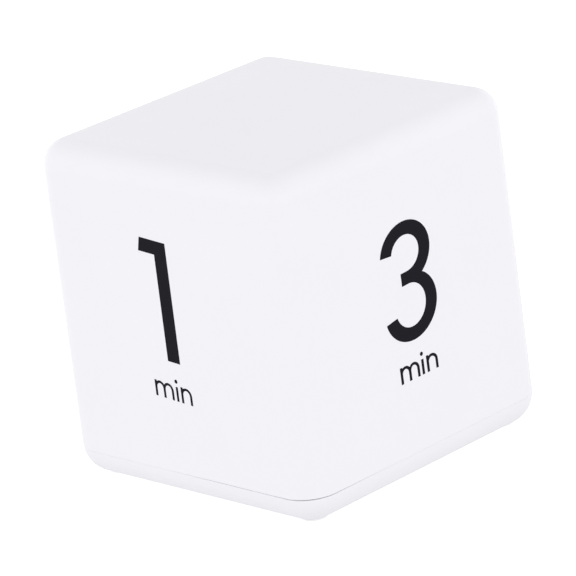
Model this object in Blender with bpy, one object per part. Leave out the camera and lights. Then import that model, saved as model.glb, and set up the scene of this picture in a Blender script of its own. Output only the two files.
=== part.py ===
"""Cube timer: a white moulded cube that starts to count when it is turned onto another face.

Metres, +Z up, origin at the middle of the base. The face marked 1 looks along -Y, 3 along +X,
5 along +Y and 10 along -X. The base holds the battery door, the display and the slide switch.
"""
import math

import bmesh
import bpy
from mathutils import Matrix, Vector

MM = 0.001

# Body: outer shape of the cube
BODY_HEIGHT = 64.0 * MM
HALF_AT_BASE = 31.02 * MM
HALF_AT_TOP = 30.30 * MM
EDGE_RADIUS = 4.9 * MM
FOOT_RADIUS = 6.0 * MM
EDGE_STEPS = 5
WALL = 2.0 * MM
SEAM_HEIGHT = 5.6 * MM
SEAM_GAP = 0.3 * MM
DRAFT = math.atan((HALF_AT_BASE - HALF_AT_TOP) / BODY_HEIGHT)

# Gaps: between neighbours that meet, and round a print that fills its pocket
FIT = 0.3 * MM
PRINT_GAP = 0.06 * MM
OVERCUT = 1.0 * MM

# Round pieces: sides of large and small ones
SIDES = 20
SMALL_SIDES = 12

# Base cover: floor, and the lip that goes up inside the housing
FLOOR = 2.0 * MM
LIP_OUTER = 28.7 * MM
LIP_INNER = 27.5 * MM
LIP_RADIUS = 3.0 * MM
LIP_TOP = 8.5 * MM

# Case screws: one in each corner, from below into a boss of the housing
SCREW_REACH = 24.6 * MM
BOSS_RADIUS = 2.4 * MM
BOSS_BOTTOM = 6.8 * MM
BOSS_TOP = 20.0 * MM
BOSS_BORE = 1.25 * MM
BOSS_BORE_TOP = 17.0 * MM
GUSSET = 1.2 * MM
GUSSET_BOTTOM = 8.9 * MM
GUSSET_TOP = 18.0 * MM
GUSSET_REACH = 29.6 * MM
SCREW_WELL_RADIUS = 2.2 * MM
SCREW_WELL_WALL = 1.4 * MM
SCREW_SEAT = 3.0 * MM
SCREW_POST_TOP = 6.4 * MM
SCREW_HEAD_RADIUS = 1.9 * MM
SCREW_HEAD_HEIGHT = 1.4 * MM
SCREW_SHANK_RADIUS = 0.95 * MM
SCREW_LENGTH = 10.0 * MM

# Battery bay: two AAA cells side by side along X, pointing opposite ways
CELL_RADIUS = 5.25 * MM
CELL_LENGTH = 44.5 * MM
CELL_NUB_RADIUS = 1.9 * MM
CELL_NUB = 1.0 * MM
CELL_Z = 7.6 * MM
CELL_1_Y = -14.65 * MM
CELL_2_Y = -3.75 * MM
CELL_PLUS_X = 24.6 * MM
BAY_HALF = 25.9 * MM
BAY_LOW_Y = -20.3 * MM
BAY_HIGH_Y = 1.9 * MM
BAY_ROOF = 13.4 * MM
BAY_WALL = 1.4 * MM
BAY_ROOF_TOP = 14.9 * MM
BAY_END = 27.8 * MM
BAY_RIB = 1.2 * MM
BAY_RIB_HALF = 20.0 * MM
BAY_RIB_BOTTOM = 11.6 * MM

# Battery door and its opening
DOOR_HALF = 23.5 * MM
DOOR_LOW_Y = -20.9 * MM
DOOR_HIGH_Y = 2.5 * MM
DOOR_BOTTOM = 0.2 * MM
DOOR_TOP = 1.65 * MM
DOOR_GAP = 0.2 * MM
DOOR_SEAT = 1.95 * MM
DOOR_RIB_X = 12.0 * MM
DOOR_RIB = 1.0 * MM
DOOR_RIB_TOP = 2.1 * MM
DOOR_RIB_INSET = 1.6 * MM
HOOK_WIDTH = 1.8 * MM
HOOK_INSET = 0.7 * MM
HOOK_REACH = 1.7 * MM
HOOK_POST = 1.0 * MM
HOOK_BOTTOM = 2.3 * MM
HOOK_TOP = 3.2 * MM
CATCH_LOW_Y = -11.0 * MM
CATCH_HIGH_Y = -7.9 * MM
CATCH_START = 20.6 * MM
CATCH_LEG = 22.6 * MM
CATCH_BACK = 23.4 * MM
CATCH_BARB = 24.5 * MM
CATCH_THICKNESS = 0.9 * MM
CATCH_LOW = 0.55 * MM
CATCH_BARB_Z = 2.3 * MM
CATCH_TOP = 3.4 * MM
SCOOP_HALF = 5.0 * MM
SCOOP_END = 26.6 * MM
SCOOP_DEPTH = 0.9 * MM

# Contacts: plates at the ends of the bay
CONTACT = 0.3 * MM
CONTACT_X = 25.4 * MM
CONTACT_LOW_Z = 4.0 * MM
CONTACT_HIGH_Z = 11.2 * MM
CONTACT_HALF = 3.45 * MM
DIMPLE_RADIUS = 1.8 * MM
DIMPLE_TIP_RADIUS = 1.1 * MM
DIMPLE_HEIGHT = 0.5 * MM
TAIL_HALF = 0.8 * MM
TAIL_TOP = 16.2 * MM
TAIL_SLOT_END = 25.85 * MM

# Battery springs: tapered coils of round wire
SPRING_WIRE_RADIUS = 0.25 * MM
SPRING_CELL_RADIUS = 2.6 * MM
SPRING_WALL_RADIUS = 3.6 * MM
SPRING_CURLS = 4
SPRING_POINTS = 9
SPRING_END_GAP = 0.25 * MM
LEAST_WIRE_GAP = 0.4 * MM

# Display: lens in the base, glass and holder behind it
LENS_X = (-21.5 * MM, 4.5 * MM)
LENS_Y = (5.7 * MM, 16.7 * MM)
LENS_Z = (0.3 * MM, 1.5 * MM)
VIEW_MARGIN = 1.0 * MM
LENS_SEAT = 1.8 * MM
FRAME_MARGIN = 2.0 * MM
FRAME_TOP = 3.0 * MM
GLASS_LOW = (-22.5 * MM, 5.2 * MM, 3.3 * MM)
GLASS_HIGH = (5.5 * MM, 17.3 * MM, 5.1 * MM)
HOLDER_LOW = (-24.0 * MM, 4.0 * MM, 3.3 * MM)
HOLDER_HIGH = (7.0 * MM, 18.5 * MM, 7.7 * MM)
HOLDER_WALL = 0.9 * MM
ZEBRA_LOW = (-21.0 * MM, 15.6 * MM, 5.4 * MM)
ZEBRA_HIGH = (4.0 * MM, 17.0 * MM, 7.7 * MM)

# Main board on three posts
BOARD_HALF_X = 26.5 * MM
BOARD_Y = (3.7 * MM, 26.6 * MM)
BOARD_Z = (8.0 * MM, 9.6 * MM)
BOARD_NOTCH = 21.8 * MM
BOARD_POSTS = ((-18.5 * MM, 22.3 * MM), (18.5 * MM, 22.3 * MM), (10.3 * MM, 6.0 * MM))
BOARD_POST_RADIUS = 2.0 * MM
BOARD_POST_BORE = 1.05 * MM
BOARD_POST_BORE_BOTTOM = 4.2 * MM
BOARD_SCREW_HEAD_RADIUS = 1.6 * MM
BOARD_SCREW_HEAD_HEIGHT = 1.1 * MM
BOARD_SCREW_SHANK_RADIUS = 0.75 * MM
BOARD_SCREW_LENGTH = 4.8 * MM
PART_GAP = 0.1 * MM

# Parts on the main board
CHIP_AT = (-3.0 * MM, 12.0 * MM)
CHIP_RADIUS = 5.0 * MM
CHIP_HEIGHT = 1.6 * MM
CRYSTAL_AT = (5.5 * MM, 21.0 * MM)
CRYSTAL_RADIUS = 1.0 * MM
CRYSTAL_LENGTH = 6.0 * MM
CAPACITOR_AT = (19.0 * MM, 14.0 * MM)
CAPACITOR_RADIUS = 2.5 * MM
CAPACITOR_HEIGHT = 7.0 * MM
COIL_AT = (12.0 * MM, 14.5 * MM)
COIL_RADIUS = 3.0 * MM
COIL_HEIGHT = 4.2 * MM
COIL_FLANGE = 0.8 * MM
COIL_WAIST_RADIUS = 2.5 * MM
TRANSISTOR_AT = (17.5 * MM, 6.6 * MM)
TRANSISTOR_SIZE = (4.2 * MM, 3.2 * MM, 3.8 * MM)

# Tilt sensor: a steel ball in a small box with four pins
TILT_AT = (-17.0 * MM, 12.0 * MM)
TILT_HALF = 4.5 * MM
TILT_WALL = 1.0 * MM
TILT_BOX_TOP = 15.0 * MM
TILT_CAP = 1.0 * MM
BALL_RADIUS = 2.0 * MM
BALL_GAP = 0.05 * MM
PIN_REACH = 2.4 * MM
PIN_RADIUS = 0.35 * MM
PIN_HOLE_RADIUS = 0.6 * MM
PIN_BOTTOM = 7.0 * MM
PIN_TOP = 13.5 * MM

# Slide switch: knob in the base, frame under the board
SWITCH_Y = 21.8 * MM
SWITCH_TRAVEL = 4.0 * MM
SWITCH_POCKET = (7.0 * MM, 3.0 * MM)
SWITCH_POCKET_DEPTH = 0.9 * MM
SWITCH_SLOT = (4.6 * MM, 1.9 * MM)
SWITCH_FRAME = (6.2 * MM, 2.9 * MM)
SWITCH_FRAME_Z = (4.4 * MM, 7.7 * MM)
SWITCH_FRAME_WALL = 0.6 * MM
SWITCH_FRAME_SLOT = (3.7 * MM, 0.8 * MM)
KNOB_THUMB = (2.0 * MM, 1.6 * MM)
KNOB_THUMB_Z = (0.35 * MM, 3.2 * MM)
KNOB_NECK = (1.2 * MM, 0.5 * MM)
KNOB_SLIDER = (2.4 * MM, 1.4 * MM)
KNOB_SLIDER_Z = (5.3 * MM, 6.8 * MM)
KNOB_GROOVES = 2
KNOB_GROOVE = 0.5 * MM
KNOB_GROOVE_PITCH = 1.3 * MM

# Buzzer: a piezo disc on a ring of the base, over its sound holes
BUZZER_AT = (17.5 * MM, 12.0 * MM)
BUZZER_RADIUS = 6.0 * MM
BUZZER_Z = (3.1 * MM, 3.35 * MM)
CERAMIC_RADIUS = 4.5 * MM
CERAMIC_Z = (3.45 * MM, 3.65 * MM)
BUZZER_RING_OUTER = 7.0 * MM
BUZZER_RING_INNER = 6.3 * MM
BUZZER_RING_TOP = 4.5 * MM
BUZZER_SEAT_RADIUS = 5.2 * MM
BUZZER_SEAT_TOP = 2.8 * MM
SOUND_HOLE_RADIUS = 0.75 * MM
SOUND_HOLE_REACH = 3.0 * MM
SOUND_HOLES = 6

# Leads: insulated wires, each through the places that it is led past
LEAD_RADIUS = 0.55 * MM
LEAD_POINT_SPACING = 1.4 * MM
BATTERY_RED_ROUTE = (
    (25.5 * MM, -14.65 * MM, 16.5 * MM), (25.5 * MM, -14.4 * MM, 17.9 * MM),
    (25.0 * MM, -11.5 * MM, 18.2 * MM), (24.0 * MM, -6.0 * MM, 16.3 * MM),
    (23.2 * MM, -0.5 * MM, 16.2 * MM), (22.9 * MM, 4.5 * MM, 15.6 * MM),
    (22.9 * MM, 6.9 * MM, 12.8 * MM), (22.9 * MM, 7.0 * MM, 9.9 * MM))
BATTERY_BLACK_ROUTE = (
    (25.5 * MM, -3.75 * MM, 16.5 * MM), (25.5 * MM, -3.6 * MM, 17.6 * MM),
    (25.4 * MM, -1.6 * MM, 18.0 * MM), (25.3 * MM, 3.6 * MM, 16.6 * MM),
    (25.2 * MM, 6.8 * MM, 13.0 * MM), (25.2 * MM, 7.0 * MM, 9.9 * MM))
BUZZER_RED_ROUTE = (
    (18.5 * MM, 12.5 * MM, 3.95 * MM), (18.6 * MM, 12.6 * MM, 4.9 * MM),
    (19.6 * MM, 14.0 * MM, 5.9 * MM), (21.6 * MM, 16.4 * MM, 6.4 * MM),
    (22.4 * MM, 17.4 * MM, 7.7 * MM))
BUZZER_BLACK_ROUTE = (
    (15.5 * MM, 7.3 * MM, 3.65 * MM), (15.4 * MM, 7.3 * MM, 4.7 * MM),
    (15.8 * MM, 6.6 * MM, 5.8 * MM), (17.6 * MM, 5.9 * MM, 6.5 * MM),
    (18.6 * MM, 5.8 * MM, 7.7 * MM))

# Printed numerals: ink that fills a shallow pocket, level with the face
PRINT_DEPTH = 0.3 * MM
POCKET_DEPTH = 0.36 * MM
ARC_STEPS = 14


def finish(name, colour, roughness, metallic=0.0):
    """A Principled material with one plain colour."""
    material = bpy.data.materials.new(name)
    material.use_nodes = True
    shader = material.node_tree.nodes["Principled BSDF"]
    shader.inputs["Base Color"].default_value = (*colour, 1.0)
    shader.inputs["Roughness"].default_value = roughness
    shader.inputs["Metallic"].default_value = metallic
    material.diffuse_color = (*colour, 1.0)
    return material


def solid(name, bm, material, place=Matrix.Identity(4), smooth_angle=35.0):
    """Turn a bmesh into a named object with one material, put where place says."""
    bmesh.ops.remove_doubles(bm, verts=bm.verts, dist=0.001 * MM)
    bmesh.ops.recalc_face_normals(bm, faces=bm.faces)
    mesh = bpy.data.meshes.new(name)
    bm.to_mesh(mesh)
    bm.free()
    mesh.materials.append(material)
    mesh.shade_smooth()
    mesh.set_sharp_from_angle(angle=math.radians(smooth_angle))
    body = bpy.data.objects.new(name, mesh)
    bpy.context.scene.collection.objects.link(body)
    body.matrix_world = place
    return body


def block(name, low, high, material=None, bevel=0.0):
    """A box between two corners, with its origin at its middle."""
    low, high = Vector(low), Vector(high)
    bm = bmesh.new()
    bmesh.ops.create_cube(bm, size=1.0)
    bmesh.ops.scale(bm, vec=high - low, verts=bm.verts)
    if bevel:
        bmesh.ops.bevel(bm, geom=bm.edges[:], offset=bevel, segments=1, affect="EDGES", profile=0.5)
    return solid(name, bm, material or WHITE, Matrix.Translation((low + high) / 2))


def upright(name, at, radius, bottom, top, material=None, sides=SMALL_SIDES):
    """A cylinder that stands at a point of the floor plan, between two heights."""
    bm = bmesh.new()
    bmesh.ops.create_cone(bm, cap_ends=True, segments=sides, radius1=radius, radius2=radius,
                          depth=top - bottom)
    place = Matrix.Translation((at[0], at[1], (bottom + top) / 2))
    return solid(name, bm, material or WHITE, place)


def turned(name, profile, material, place, sides=SIDES):
    """A turned piece about its own Z, from (radius, height) points that begin and end on the axis."""
    bm = bmesh.new()
    verts = [bm.verts.new((radius, 0.0, height)) for radius, height in profile]
    edges = [bm.edges.new(pair) for pair in zip(verts, verts[1:])]
    bmesh.ops.spin(bm, geom=verts + edges, cent=(0, 0, 0), axis=(0, 0, 1), dvec=(0, 0, 0),
                   angle=math.tau, steps=sides, use_merge=True)
    return solid(name, bm, material, place)


def boolean(body, tools, operation):
    """Join the tools to the body or cut them from it, and keep only the result."""
    for tool in tools:
        modifier = body.modifiers.new(tool.name, "BOOLEAN")
        modifier.operation = operation
        modifier.solver = "EXACT"
        modifier.object = tool
    bpy.context.view_layer.update()
    graph = bpy.context.evaluated_depsgraph_get()
    result = bpy.data.meshes.new_from_object(body.evaluated_get(graph))
    body.modifiers.clear()
    body.data = result
    for tool in tools:
        bpy.data.objects.remove(tool)
    return body


def weld(body, tools):
    return boolean(body, tools, "UNION")


def cut(body, tools):
    return boolean(body, tools, "DIFFERENCE")


def rounded_square(half, radius, z, steps=EDGE_STEPS):
    """Points of a square with round corners, at one height."""
    points = []
    for quarter in range(4):
        start = quarter * math.pi / 2
        corner = Vector((math.sqrt(2) * math.cos(start + math.pi / 4),
                         math.sqrt(2) * math.sin(start + math.pi / 4))) * (half - radius)
        for step in range(steps + 1):
            angle = start + step / steps * math.pi / 2
            points.append((corner.x + radius * math.cos(angle),
                           corner.y + radius * math.sin(angle), z))
    return points


def loft(name, rings, material):
    """A closed solid through a stack of rings with the same number of points."""
    bm = bmesh.new()
    loops = [[bm.verts.new(point) for point in ring] for ring in rings]
    for lower, upper in zip(loops, loops[1:]):
        for i in range(len(lower)):
            bm.faces.new((lower[i - 1], lower[i], upper[i], upper[i - 1]))
    bm.faces.new(reversed(loops[0]))
    bm.faces.new(loops[-1])
    bmesh.ops.dissolve_degenerate(bm, dist=0.001 * MM, edges=bm.edges)
    return solid(name, bm, material)


def half_width(z):
    """Half the body's width at a height, before its edges are rounded."""
    return HALF_AT_BASE + (HALF_AT_TOP - HALF_AT_BASE) * z / BODY_HEIGHT


def top_rings(height, inset, radius):
    """Rings round the upper edge of the body, or of its hollow, which lies a wall further in."""
    rings = []
    for step in range(EDGE_STEPS + 1):
        angle = step / EDGE_STEPS * math.pi / 2
        z = height - radius + radius * math.sin(angle)
        half = half_width(z) - inset - radius * (1 - math.cos(angle))
        rings.append(rounded_square(half, radius * math.cos(angle), z))
    return rings


def foot_rings(top):
    """Rings round the lower edge of the body, from the floor to a height within the rounding."""
    rings = []
    last = math.asin((FOOT_RADIUS - top) / FOOT_RADIUS)
    for step in range(EDGE_STEPS + 1):
        angle = math.pi / 2 + (last - math.pi / 2) * step / EDGE_STEPS
        z = FOOT_RADIUS * (1 - math.sin(angle))
        half = half_width(z) - FOOT_RADIUS * (1 - math.cos(angle))
        rings.append(rounded_square(half, EDGE_RADIUS * math.cos(angle), z))
    return rings


def face_frame(quarter_turns):
    """Matrix of a side face: X along it, Y up it and Z out of it, with its origin low in the middle."""
    along = Vector((1, 0, 0))
    up = Vector((0, math.sin(DRAFT), math.cos(DRAFT)))
    out = along.cross(up)
    frame = Matrix((along, up, out)).transposed().to_4x4()
    frame.translation = (0, -HALF_AT_BASE, 0)
    return Matrix.Rotation(quarter_turns * math.pi / 2, 4, "Z") @ frame


def arc(centre, radii, start, end, steps=ARC_STEPS):
    """Points on an ellipse between two angles in degrees, in millimetres."""
    points = []
    for step in range(steps + 1):
        angle = math.radians(start + (end - start) * step / steps)
        points.append((centre[0] + radii[0] * math.cos(angle), centre[1] + radii[1] * math.sin(angle)))
    return points


def grown(outline, distance):
    """The outline moved outwards by a distance; it runs clockwise."""
    result = []
    for i, point in enumerate(outline):
        before = (Vector(point) - Vector(outline[i - 1])).normalized()
        after = (Vector(outline[(i + 1) % len(outline)]) - Vector(point)).normalized()
        normal = Vector((-before.y, before.x)) + Vector((-after.y, after.x))
        normal *= 2 / normal.length_squared
        result.append(tuple(Vector(point) + normal * distance))
    return result


def plate(name, outlines, low, high, place, material):
    """A flat piece with the first outline as its edge and the others as holes, between two heights."""
    bm = bmesh.new()
    edges = []
    for outline in outlines:
        verts = [bm.verts.new((x * MM, y * MM, low)) for x, y in outline]
        edges += [bm.edges.new((verts[i - 1], verts[i])) for i in range(len(verts))]
    bmesh.ops.triangle_fill(bm, use_beauty=True, edges=edges)
    up = bmesh.ops.extrude_face_region(bm, geom=bm.faces[:])["geom"]
    raised = [item for item in up if isinstance(item, bmesh.types.BMVert)]
    bmesh.ops.translate(bm, vec=(0, 0, high - low), verts=raised)
    return solid(name, bm, material, place)


def one_outline(shift=0.0):
    """The numeral 1: an upright stroke with a flat flag to its left."""
    points = ((-4.45, 49.6), (2.0, 49.6), (2.0, 27.0), (-1.05, 27.0), (-1.05, 46.9), (-5.05, 46.9))
    return [(x + shift, y) for x, y in points]


def three_outline():
    """The numeral 3: two open round bowls that meet in a short middle stroke."""
    upper, lower = (-0.38, 41.93), (-0.48, 32.40)
    points = arc(upper, (6.30, 5.75), 170, -52)
    points += arc(lower, (6.55, 6.20), 54, -165)
    points += arc(lower, (3.82, 3.93), -162, 90)
    points += [(-2.2, 36.33), (-2.2, 38.53)]
    points += arc(upper, (3.45, 3.40), -90, 170)
    return points


def five_outline():
    """The numeral 5, in the same hand: flat top stroke, leaning stem and one round bowl."""
    centre = (-0.4, 33.55)
    points = [(-4.9, 49.3), (4.9, 49.3), (4.9, 46.8), (-2.55, 46.8), (-2.95, 39.95)]
    points += arc(centre, (6.5, 6.9), 108, -165)
    points += arc(centre, (3.75, 4.5), -162, 146)
    points += [(-5.65, 36.4)]
    return points


def zero_outlines(shift):
    """The numeral 0: an upright oval ring, its sides straight for a short way."""
    outlines = []
    for radii in ((6.2, 7.7), (3.35, 5.35)):
        points = arc((shift, 41.8), radii, 180, 0)
        points += arc((shift, 34.4), radii, 0, -180)
        outlines.append(points)
    return outlines


def numerals():
    """Every printed numeral with its outlines and the side face that it is on."""
    return (("numeral_1", [one_outline()], 0), ("numeral_3", [three_outline()], 1),
            ("numeral_5", [five_outline()], 2), ("numeral_10_one", [one_outline(-5.8)], 3),
            ("numeral_10_zero", zero_outlines(4.6), 3))


def corners(reach):
    return [(x, y) for x in (-reach, reach) for y in (-reach, reach)]


def make_numerals():
    """The ink, and the cutters of the pockets that it fills."""
    cutters = []
    for name, outlines, turns in numerals():
        place = face_frame(turns)
        plate(name, outlines, -PRINT_DEPTH, 0.0, place, INK)
        edges = [grown(outlines[0], PRINT_GAP / MM)]
        edges += [grown(hole, -PRINT_GAP / MM) for hole in outlines[1:]]
        cutters.append(plate(name + "_pocket", edges, -POCKET_DEPTH, OVERCUT, place, WHITE))
    return cutters


def make_housing():
    """The five-sided shell with a screw boss in each corner."""
    bottom = SEAM_HEIGHT + SEAM_GAP / 2
    outer = [rounded_square(half_width(bottom), EDGE_RADIUS, bottom)]
    outer += top_rings(BODY_HEIGHT, 0.0, EDGE_RADIUS)
    housing = loft("housing", outer, WHITE)
    mouth = bottom - OVERCUT
    inner_radius = EDGE_RADIUS - WALL
    inner = [rounded_square(half_width(mouth) - WALL, inner_radius, mouth)]
    inner += top_rings(BODY_HEIGHT - WALL, WALL, inner_radius)
    cut(housing, [loft("hollow", inner, WHITE)])
    bosses = []
    bores = []
    for x, y in corners(SCREW_REACH):
        bosses.append(upright("boss", (x, y), BOSS_RADIUS, BOSS_BOTTOM, BOSS_TOP))
        bores.append(upright("bore", (x, y), BOSS_BORE, BOSS_BOTTOM - OVERCUT, BOSS_BORE_TOP))
        far_x = math.copysign(GUSSET_REACH, x)
        far_y = math.copysign(GUSSET_REACH, y)
        bosses.append(block("gusset", (min(x, far_x), y - GUSSET / 2, GUSSET_BOTTOM),
                            (max(x, far_x), y + GUSSET / 2, GUSSET_TOP)))
        bosses.append(block("gusset", (x - GUSSET / 2, min(y, far_y), GUSSET_BOTTOM),
                            (x + GUSSET / 2, max(y, far_y), GUSSET_TOP)))
    weld(housing, bosses)
    cut(housing, bores + make_numerals())


def base_walls():
    """The tray of the base cover with the lip that goes up inside the housing."""
    top = SEAM_HEIGHT - SEAM_GAP / 2
    cover = loft("base_cover", foot_rings(top), WHITE)
    lip = [rounded_square(LIP_OUTER, LIP_RADIUS, z) for z in (FLOOR + OVERCUT, LIP_TOP)]
    weld(cover, [loft("lip", lip, WHITE)])
    inner_radius = LIP_RADIUS - (LIP_OUTER - LIP_INNER)
    hollow = [rounded_square(LIP_INNER - FLOOR, inner_radius, FLOOR),
              rounded_square(LIP_INNER, inner_radius, FLOOR + OVERCUT),
              rounded_square(LIP_INNER, inner_radius, LIP_TOP + OVERCUT)]
    return cut(cover, [loft("hollow", hollow, WHITE)])


def bay_and_posts():
    """What stands on the floor of the base cover: battery bay, posts, frame and buzzer ring."""
    under = FLOOR / 2
    parts = [block("bay", (-BAY_END, BAY_LOW_Y - BAY_WALL, under),
                   (BAY_END, BAY_HIGH_Y + BAY_WALL, BAY_ROOF_TOP))]
    for at in corners(SCREW_REACH):
        parts.append(upright("screw_post", at, SCREW_WELL_RADIUS + SCREW_WELL_WALL, under, SCREW_POST_TOP,
                             sides=SIDES))
    for at in BOARD_POSTS:
        parts.append(upright("board_post", at, BOARD_POST_RADIUS, under, BOARD_Z[0] - FIT))
    parts.append(block("display_frame", (LENS_X[0] - FRAME_MARGIN, LENS_Y[0] - FRAME_MARGIN / 2, under),
                       (LENS_X[1] + FRAME_MARGIN, LENS_Y[1] + FRAME_MARGIN / 2, FRAME_TOP)))
    parts.append(upright("buzzer_ring", BUZZER_AT, BUZZER_RING_OUTER, under, BUZZER_RING_TOP, sides=SIDES))
    return parts


def bay_cutters():
    """Cutters of the battery bay, its door opening and the slots of the contacts' tails."""
    middle = (CELL_1_Y + CELL_2_Y) / 2
    rib = block("bay_rib", (-BAY_RIB_HALF, middle - BAY_RIB / 2, BAY_RIB_BOTTOM),
                (BAY_RIB_HALF, middle + BAY_RIB / 2, BAY_ROOF + OVERCUT))
    hollow = block("bay_hollow", (-BAY_HALF, BAY_LOW_Y, FLOOR), (BAY_HALF, BAY_HIGH_Y, BAY_ROOF))
    cutters = [cut(hollow, [rib])]
    edge = DOOR_HALF + DOOR_GAP
    cutters.append(block("door_opening", (-edge, BAY_LOW_Y, -OVERCUT), (edge, BAY_HIGH_Y, FLOOR + OVERCUT)))
    cutters.append(block("door_rebate", (-edge, DOOR_LOW_Y - DOOR_GAP, -OVERCUT),
                         (edge, DOOR_HIGH_Y + DOOR_GAP, DOOR_SEAT)))
    catch_y = (CATCH_LOW_Y + CATCH_HIGH_Y) / 2
    cutters.append(block("finger_scoop", (DOOR_HALF, catch_y - SCOOP_HALF, -OVERCUT),
                         (SCOOP_END, catch_y + SCOOP_HALF, SCOOP_DEPTH)))
    for y in (CELL_1_Y, CELL_2_Y):
        cutters.append(block("tail_slot", (CONTACT_X - FIT, y - TAIL_HALF - FIT, BAY_ROOF - OVERCUT),
                             (TAIL_SLOT_END, y + TAIL_HALF + FIT, BAY_ROOF_TOP + OVERCUT)))
    return cutters


def floor_cutters():
    """Cutters of the screw wells, lens seat, switch slot, board posts, buzzer ring and sound holes."""
    cutters = []
    for at in corners(SCREW_REACH):
        cutters.append(upright("screw_well", at, SCREW_WELL_RADIUS, -OVERCUT, SCREW_SEAT, sides=SIDES))
        cutters.append(upright("screw_hole", at, BOSS_BORE, SCREW_SEAT - OVERCUT, SCREW_POST_TOP + OVERCUT))
    for at in BOARD_POSTS:
        cutters.append(upright("board_bore", at, BOARD_POST_BORE, BOARD_POST_BORE_BOTTOM, BOARD_Z[0]))
    cutters.append(block("lens_seat", (LENS_X[0] - FIT, LENS_Y[0] - FIT, -OVERCUT),
                         (LENS_X[1] + FIT, LENS_Y[1] + FIT, LENS_SEAT)))
    cutters.append(block("view", (LENS_X[0] + VIEW_MARGIN, LENS_Y[0] + VIEW_MARGIN, 0.0),
                         (LENS_X[1] - VIEW_MARGIN, LENS_Y[1] - VIEW_MARGIN, FRAME_TOP + OVERCUT)))
    cutters.append(block("switch_pocket", (-SWITCH_POCKET[0], SWITCH_Y - SWITCH_POCKET[1], -OVERCUT),
                         (SWITCH_POCKET[0], SWITCH_Y + SWITCH_POCKET[1], SWITCH_POCKET_DEPTH)))
    cutters.append(block("switch_slot", (-SWITCH_SLOT[0], SWITCH_Y - SWITCH_SLOT[1], -OVERCUT),
                         (SWITCH_SLOT[0], SWITCH_Y + SWITCH_SLOT[1], FLOOR + OVERCUT)))
    cutters.append(upright("buzzer_well", BUZZER_AT, BUZZER_RING_INNER, BUZZER_SEAT_TOP,
                           BUZZER_RING_TOP + OVERCUT, sides=SIDES))
    cutters.append(upright("buzzer_chamber", BUZZER_AT, BUZZER_SEAT_RADIUS, FLOOR,
                           BUZZER_SEAT_TOP + OVERCUT, sides=SIDES))
    holes = [BUZZER_AT]
    for i in range(SOUND_HOLES):
        angle = i / SOUND_HOLES * math.tau
        holes.append((BUZZER_AT[0] + SOUND_HOLE_REACH * math.cos(angle),
                      BUZZER_AT[1] + SOUND_HOLE_REACH * math.sin(angle)))
    for at in holes:
        cutters.append(upright("sound_hole", at, SOUND_HOLE_RADIUS, -OVERCUT, FLOOR + OVERCUT, sides=8))
    return cutters


def make_base_cover():
    cover = base_walls()
    weld(cover, bay_and_posts())
    cut(cover, bay_cutters() + floor_cutters())


def empty(name, at):
    """A joint's place, which the moving pieces are parented to."""
    marker = bpy.data.objects.new(name, None)
    marker.empty_display_size = 5.0 * MM
    marker.location = at
    bpy.context.scene.collection.objects.link(marker)
    bpy.context.view_layer.update()
    return marker


def hang(body, marker):
    """Parent a piece to its joint's place without moving it."""
    body.parent = marker
    body.matrix_parent_inverse = marker.matrix_world.inverted()


def make_door():
    """The battery door with two hooks at its hinge end, and its flexing catch at the other end."""
    door = block("battery_door", (-DOOR_HALF, DOOR_LOW_Y, DOOR_BOTTOM),
                 (DOOR_HALF, DOOR_HIGH_Y, DOOR_TOP))
    under = DOOR_TOP - DOOR_RIB / 2
    parts = []
    for x in (-DOOR_RIB_X, DOOR_RIB_X):
        parts.append(block("pad", (x - DOOR_RIB / 2, BAY_LOW_Y + DOOR_RIB_INSET, under),
                           (x + DOOR_RIB / 2, BAY_HIGH_Y - DOOR_RIB_INSET, DOOR_RIB_TOP)))
    for y in (DOOR_LOW_Y + HOOK_INSET, DOOR_HIGH_Y - HOOK_INSET - HOOK_WIDTH):
        parts.append(block("hook_post", (-DOOR_HALF, y, under),
                           (-DOOR_HALF + HOOK_POST, y + HOOK_WIDTH, HOOK_TOP)))
        parts.append(block("hook", (-DOOR_HALF - HOOK_REACH, y, HOOK_BOTTOM),
                           (-DOOR_HALF + HOOK_POST / 2, y + HOOK_WIDTH, HOOK_TOP)))
    weld(door, parts)
    notch = block("notch", (CATCH_START - FIT, CATCH_LOW_Y - FIT, -OVERCUT),
                  (DOOR_HALF + OVERCUT, CATCH_HIGH_Y + FIT, DOOR_TOP + OVERCUT))
    cut(door, [notch])
    outline = [(CATCH_START, CATCH_LOW), (CATCH_START, CATCH_LOW + CATCH_THICKNESS),
               (CATCH_LEG, CATCH_LOW + CATCH_THICKNESS), (CATCH_LEG, CATCH_TOP), (CATCH_BACK, CATCH_TOP),
               (CATCH_BARB, CATCH_BARB_Z), (CATCH_BACK, CATCH_BARB_Z), (CATCH_BACK, CATCH_LOW)]
    side = Matrix.Rotation(math.pi / 2, 4, "X")
    edge = [(x / MM, z / MM) for x, z in outline]
    catch = plate("door_catch", [edge], -CATCH_HIGH_Y, -CATCH_LOW_Y, side, WHITE)
    hinge = empty("door_hinge", (-DOOR_HALF, (DOOR_LOW_Y + DOOR_HIGH_Y) / 2, DOOR_BOTTOM))
    hang(door, hinge)
    hang(catch, hinge)


def along_x(x, y, z, sign):
    """Place of a turned piece whose axis runs along +X or -X."""
    return Matrix.Translation((x, y, z)) @ Matrix.Rotation(sign * math.pi / 2, 4, "Y")


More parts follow.
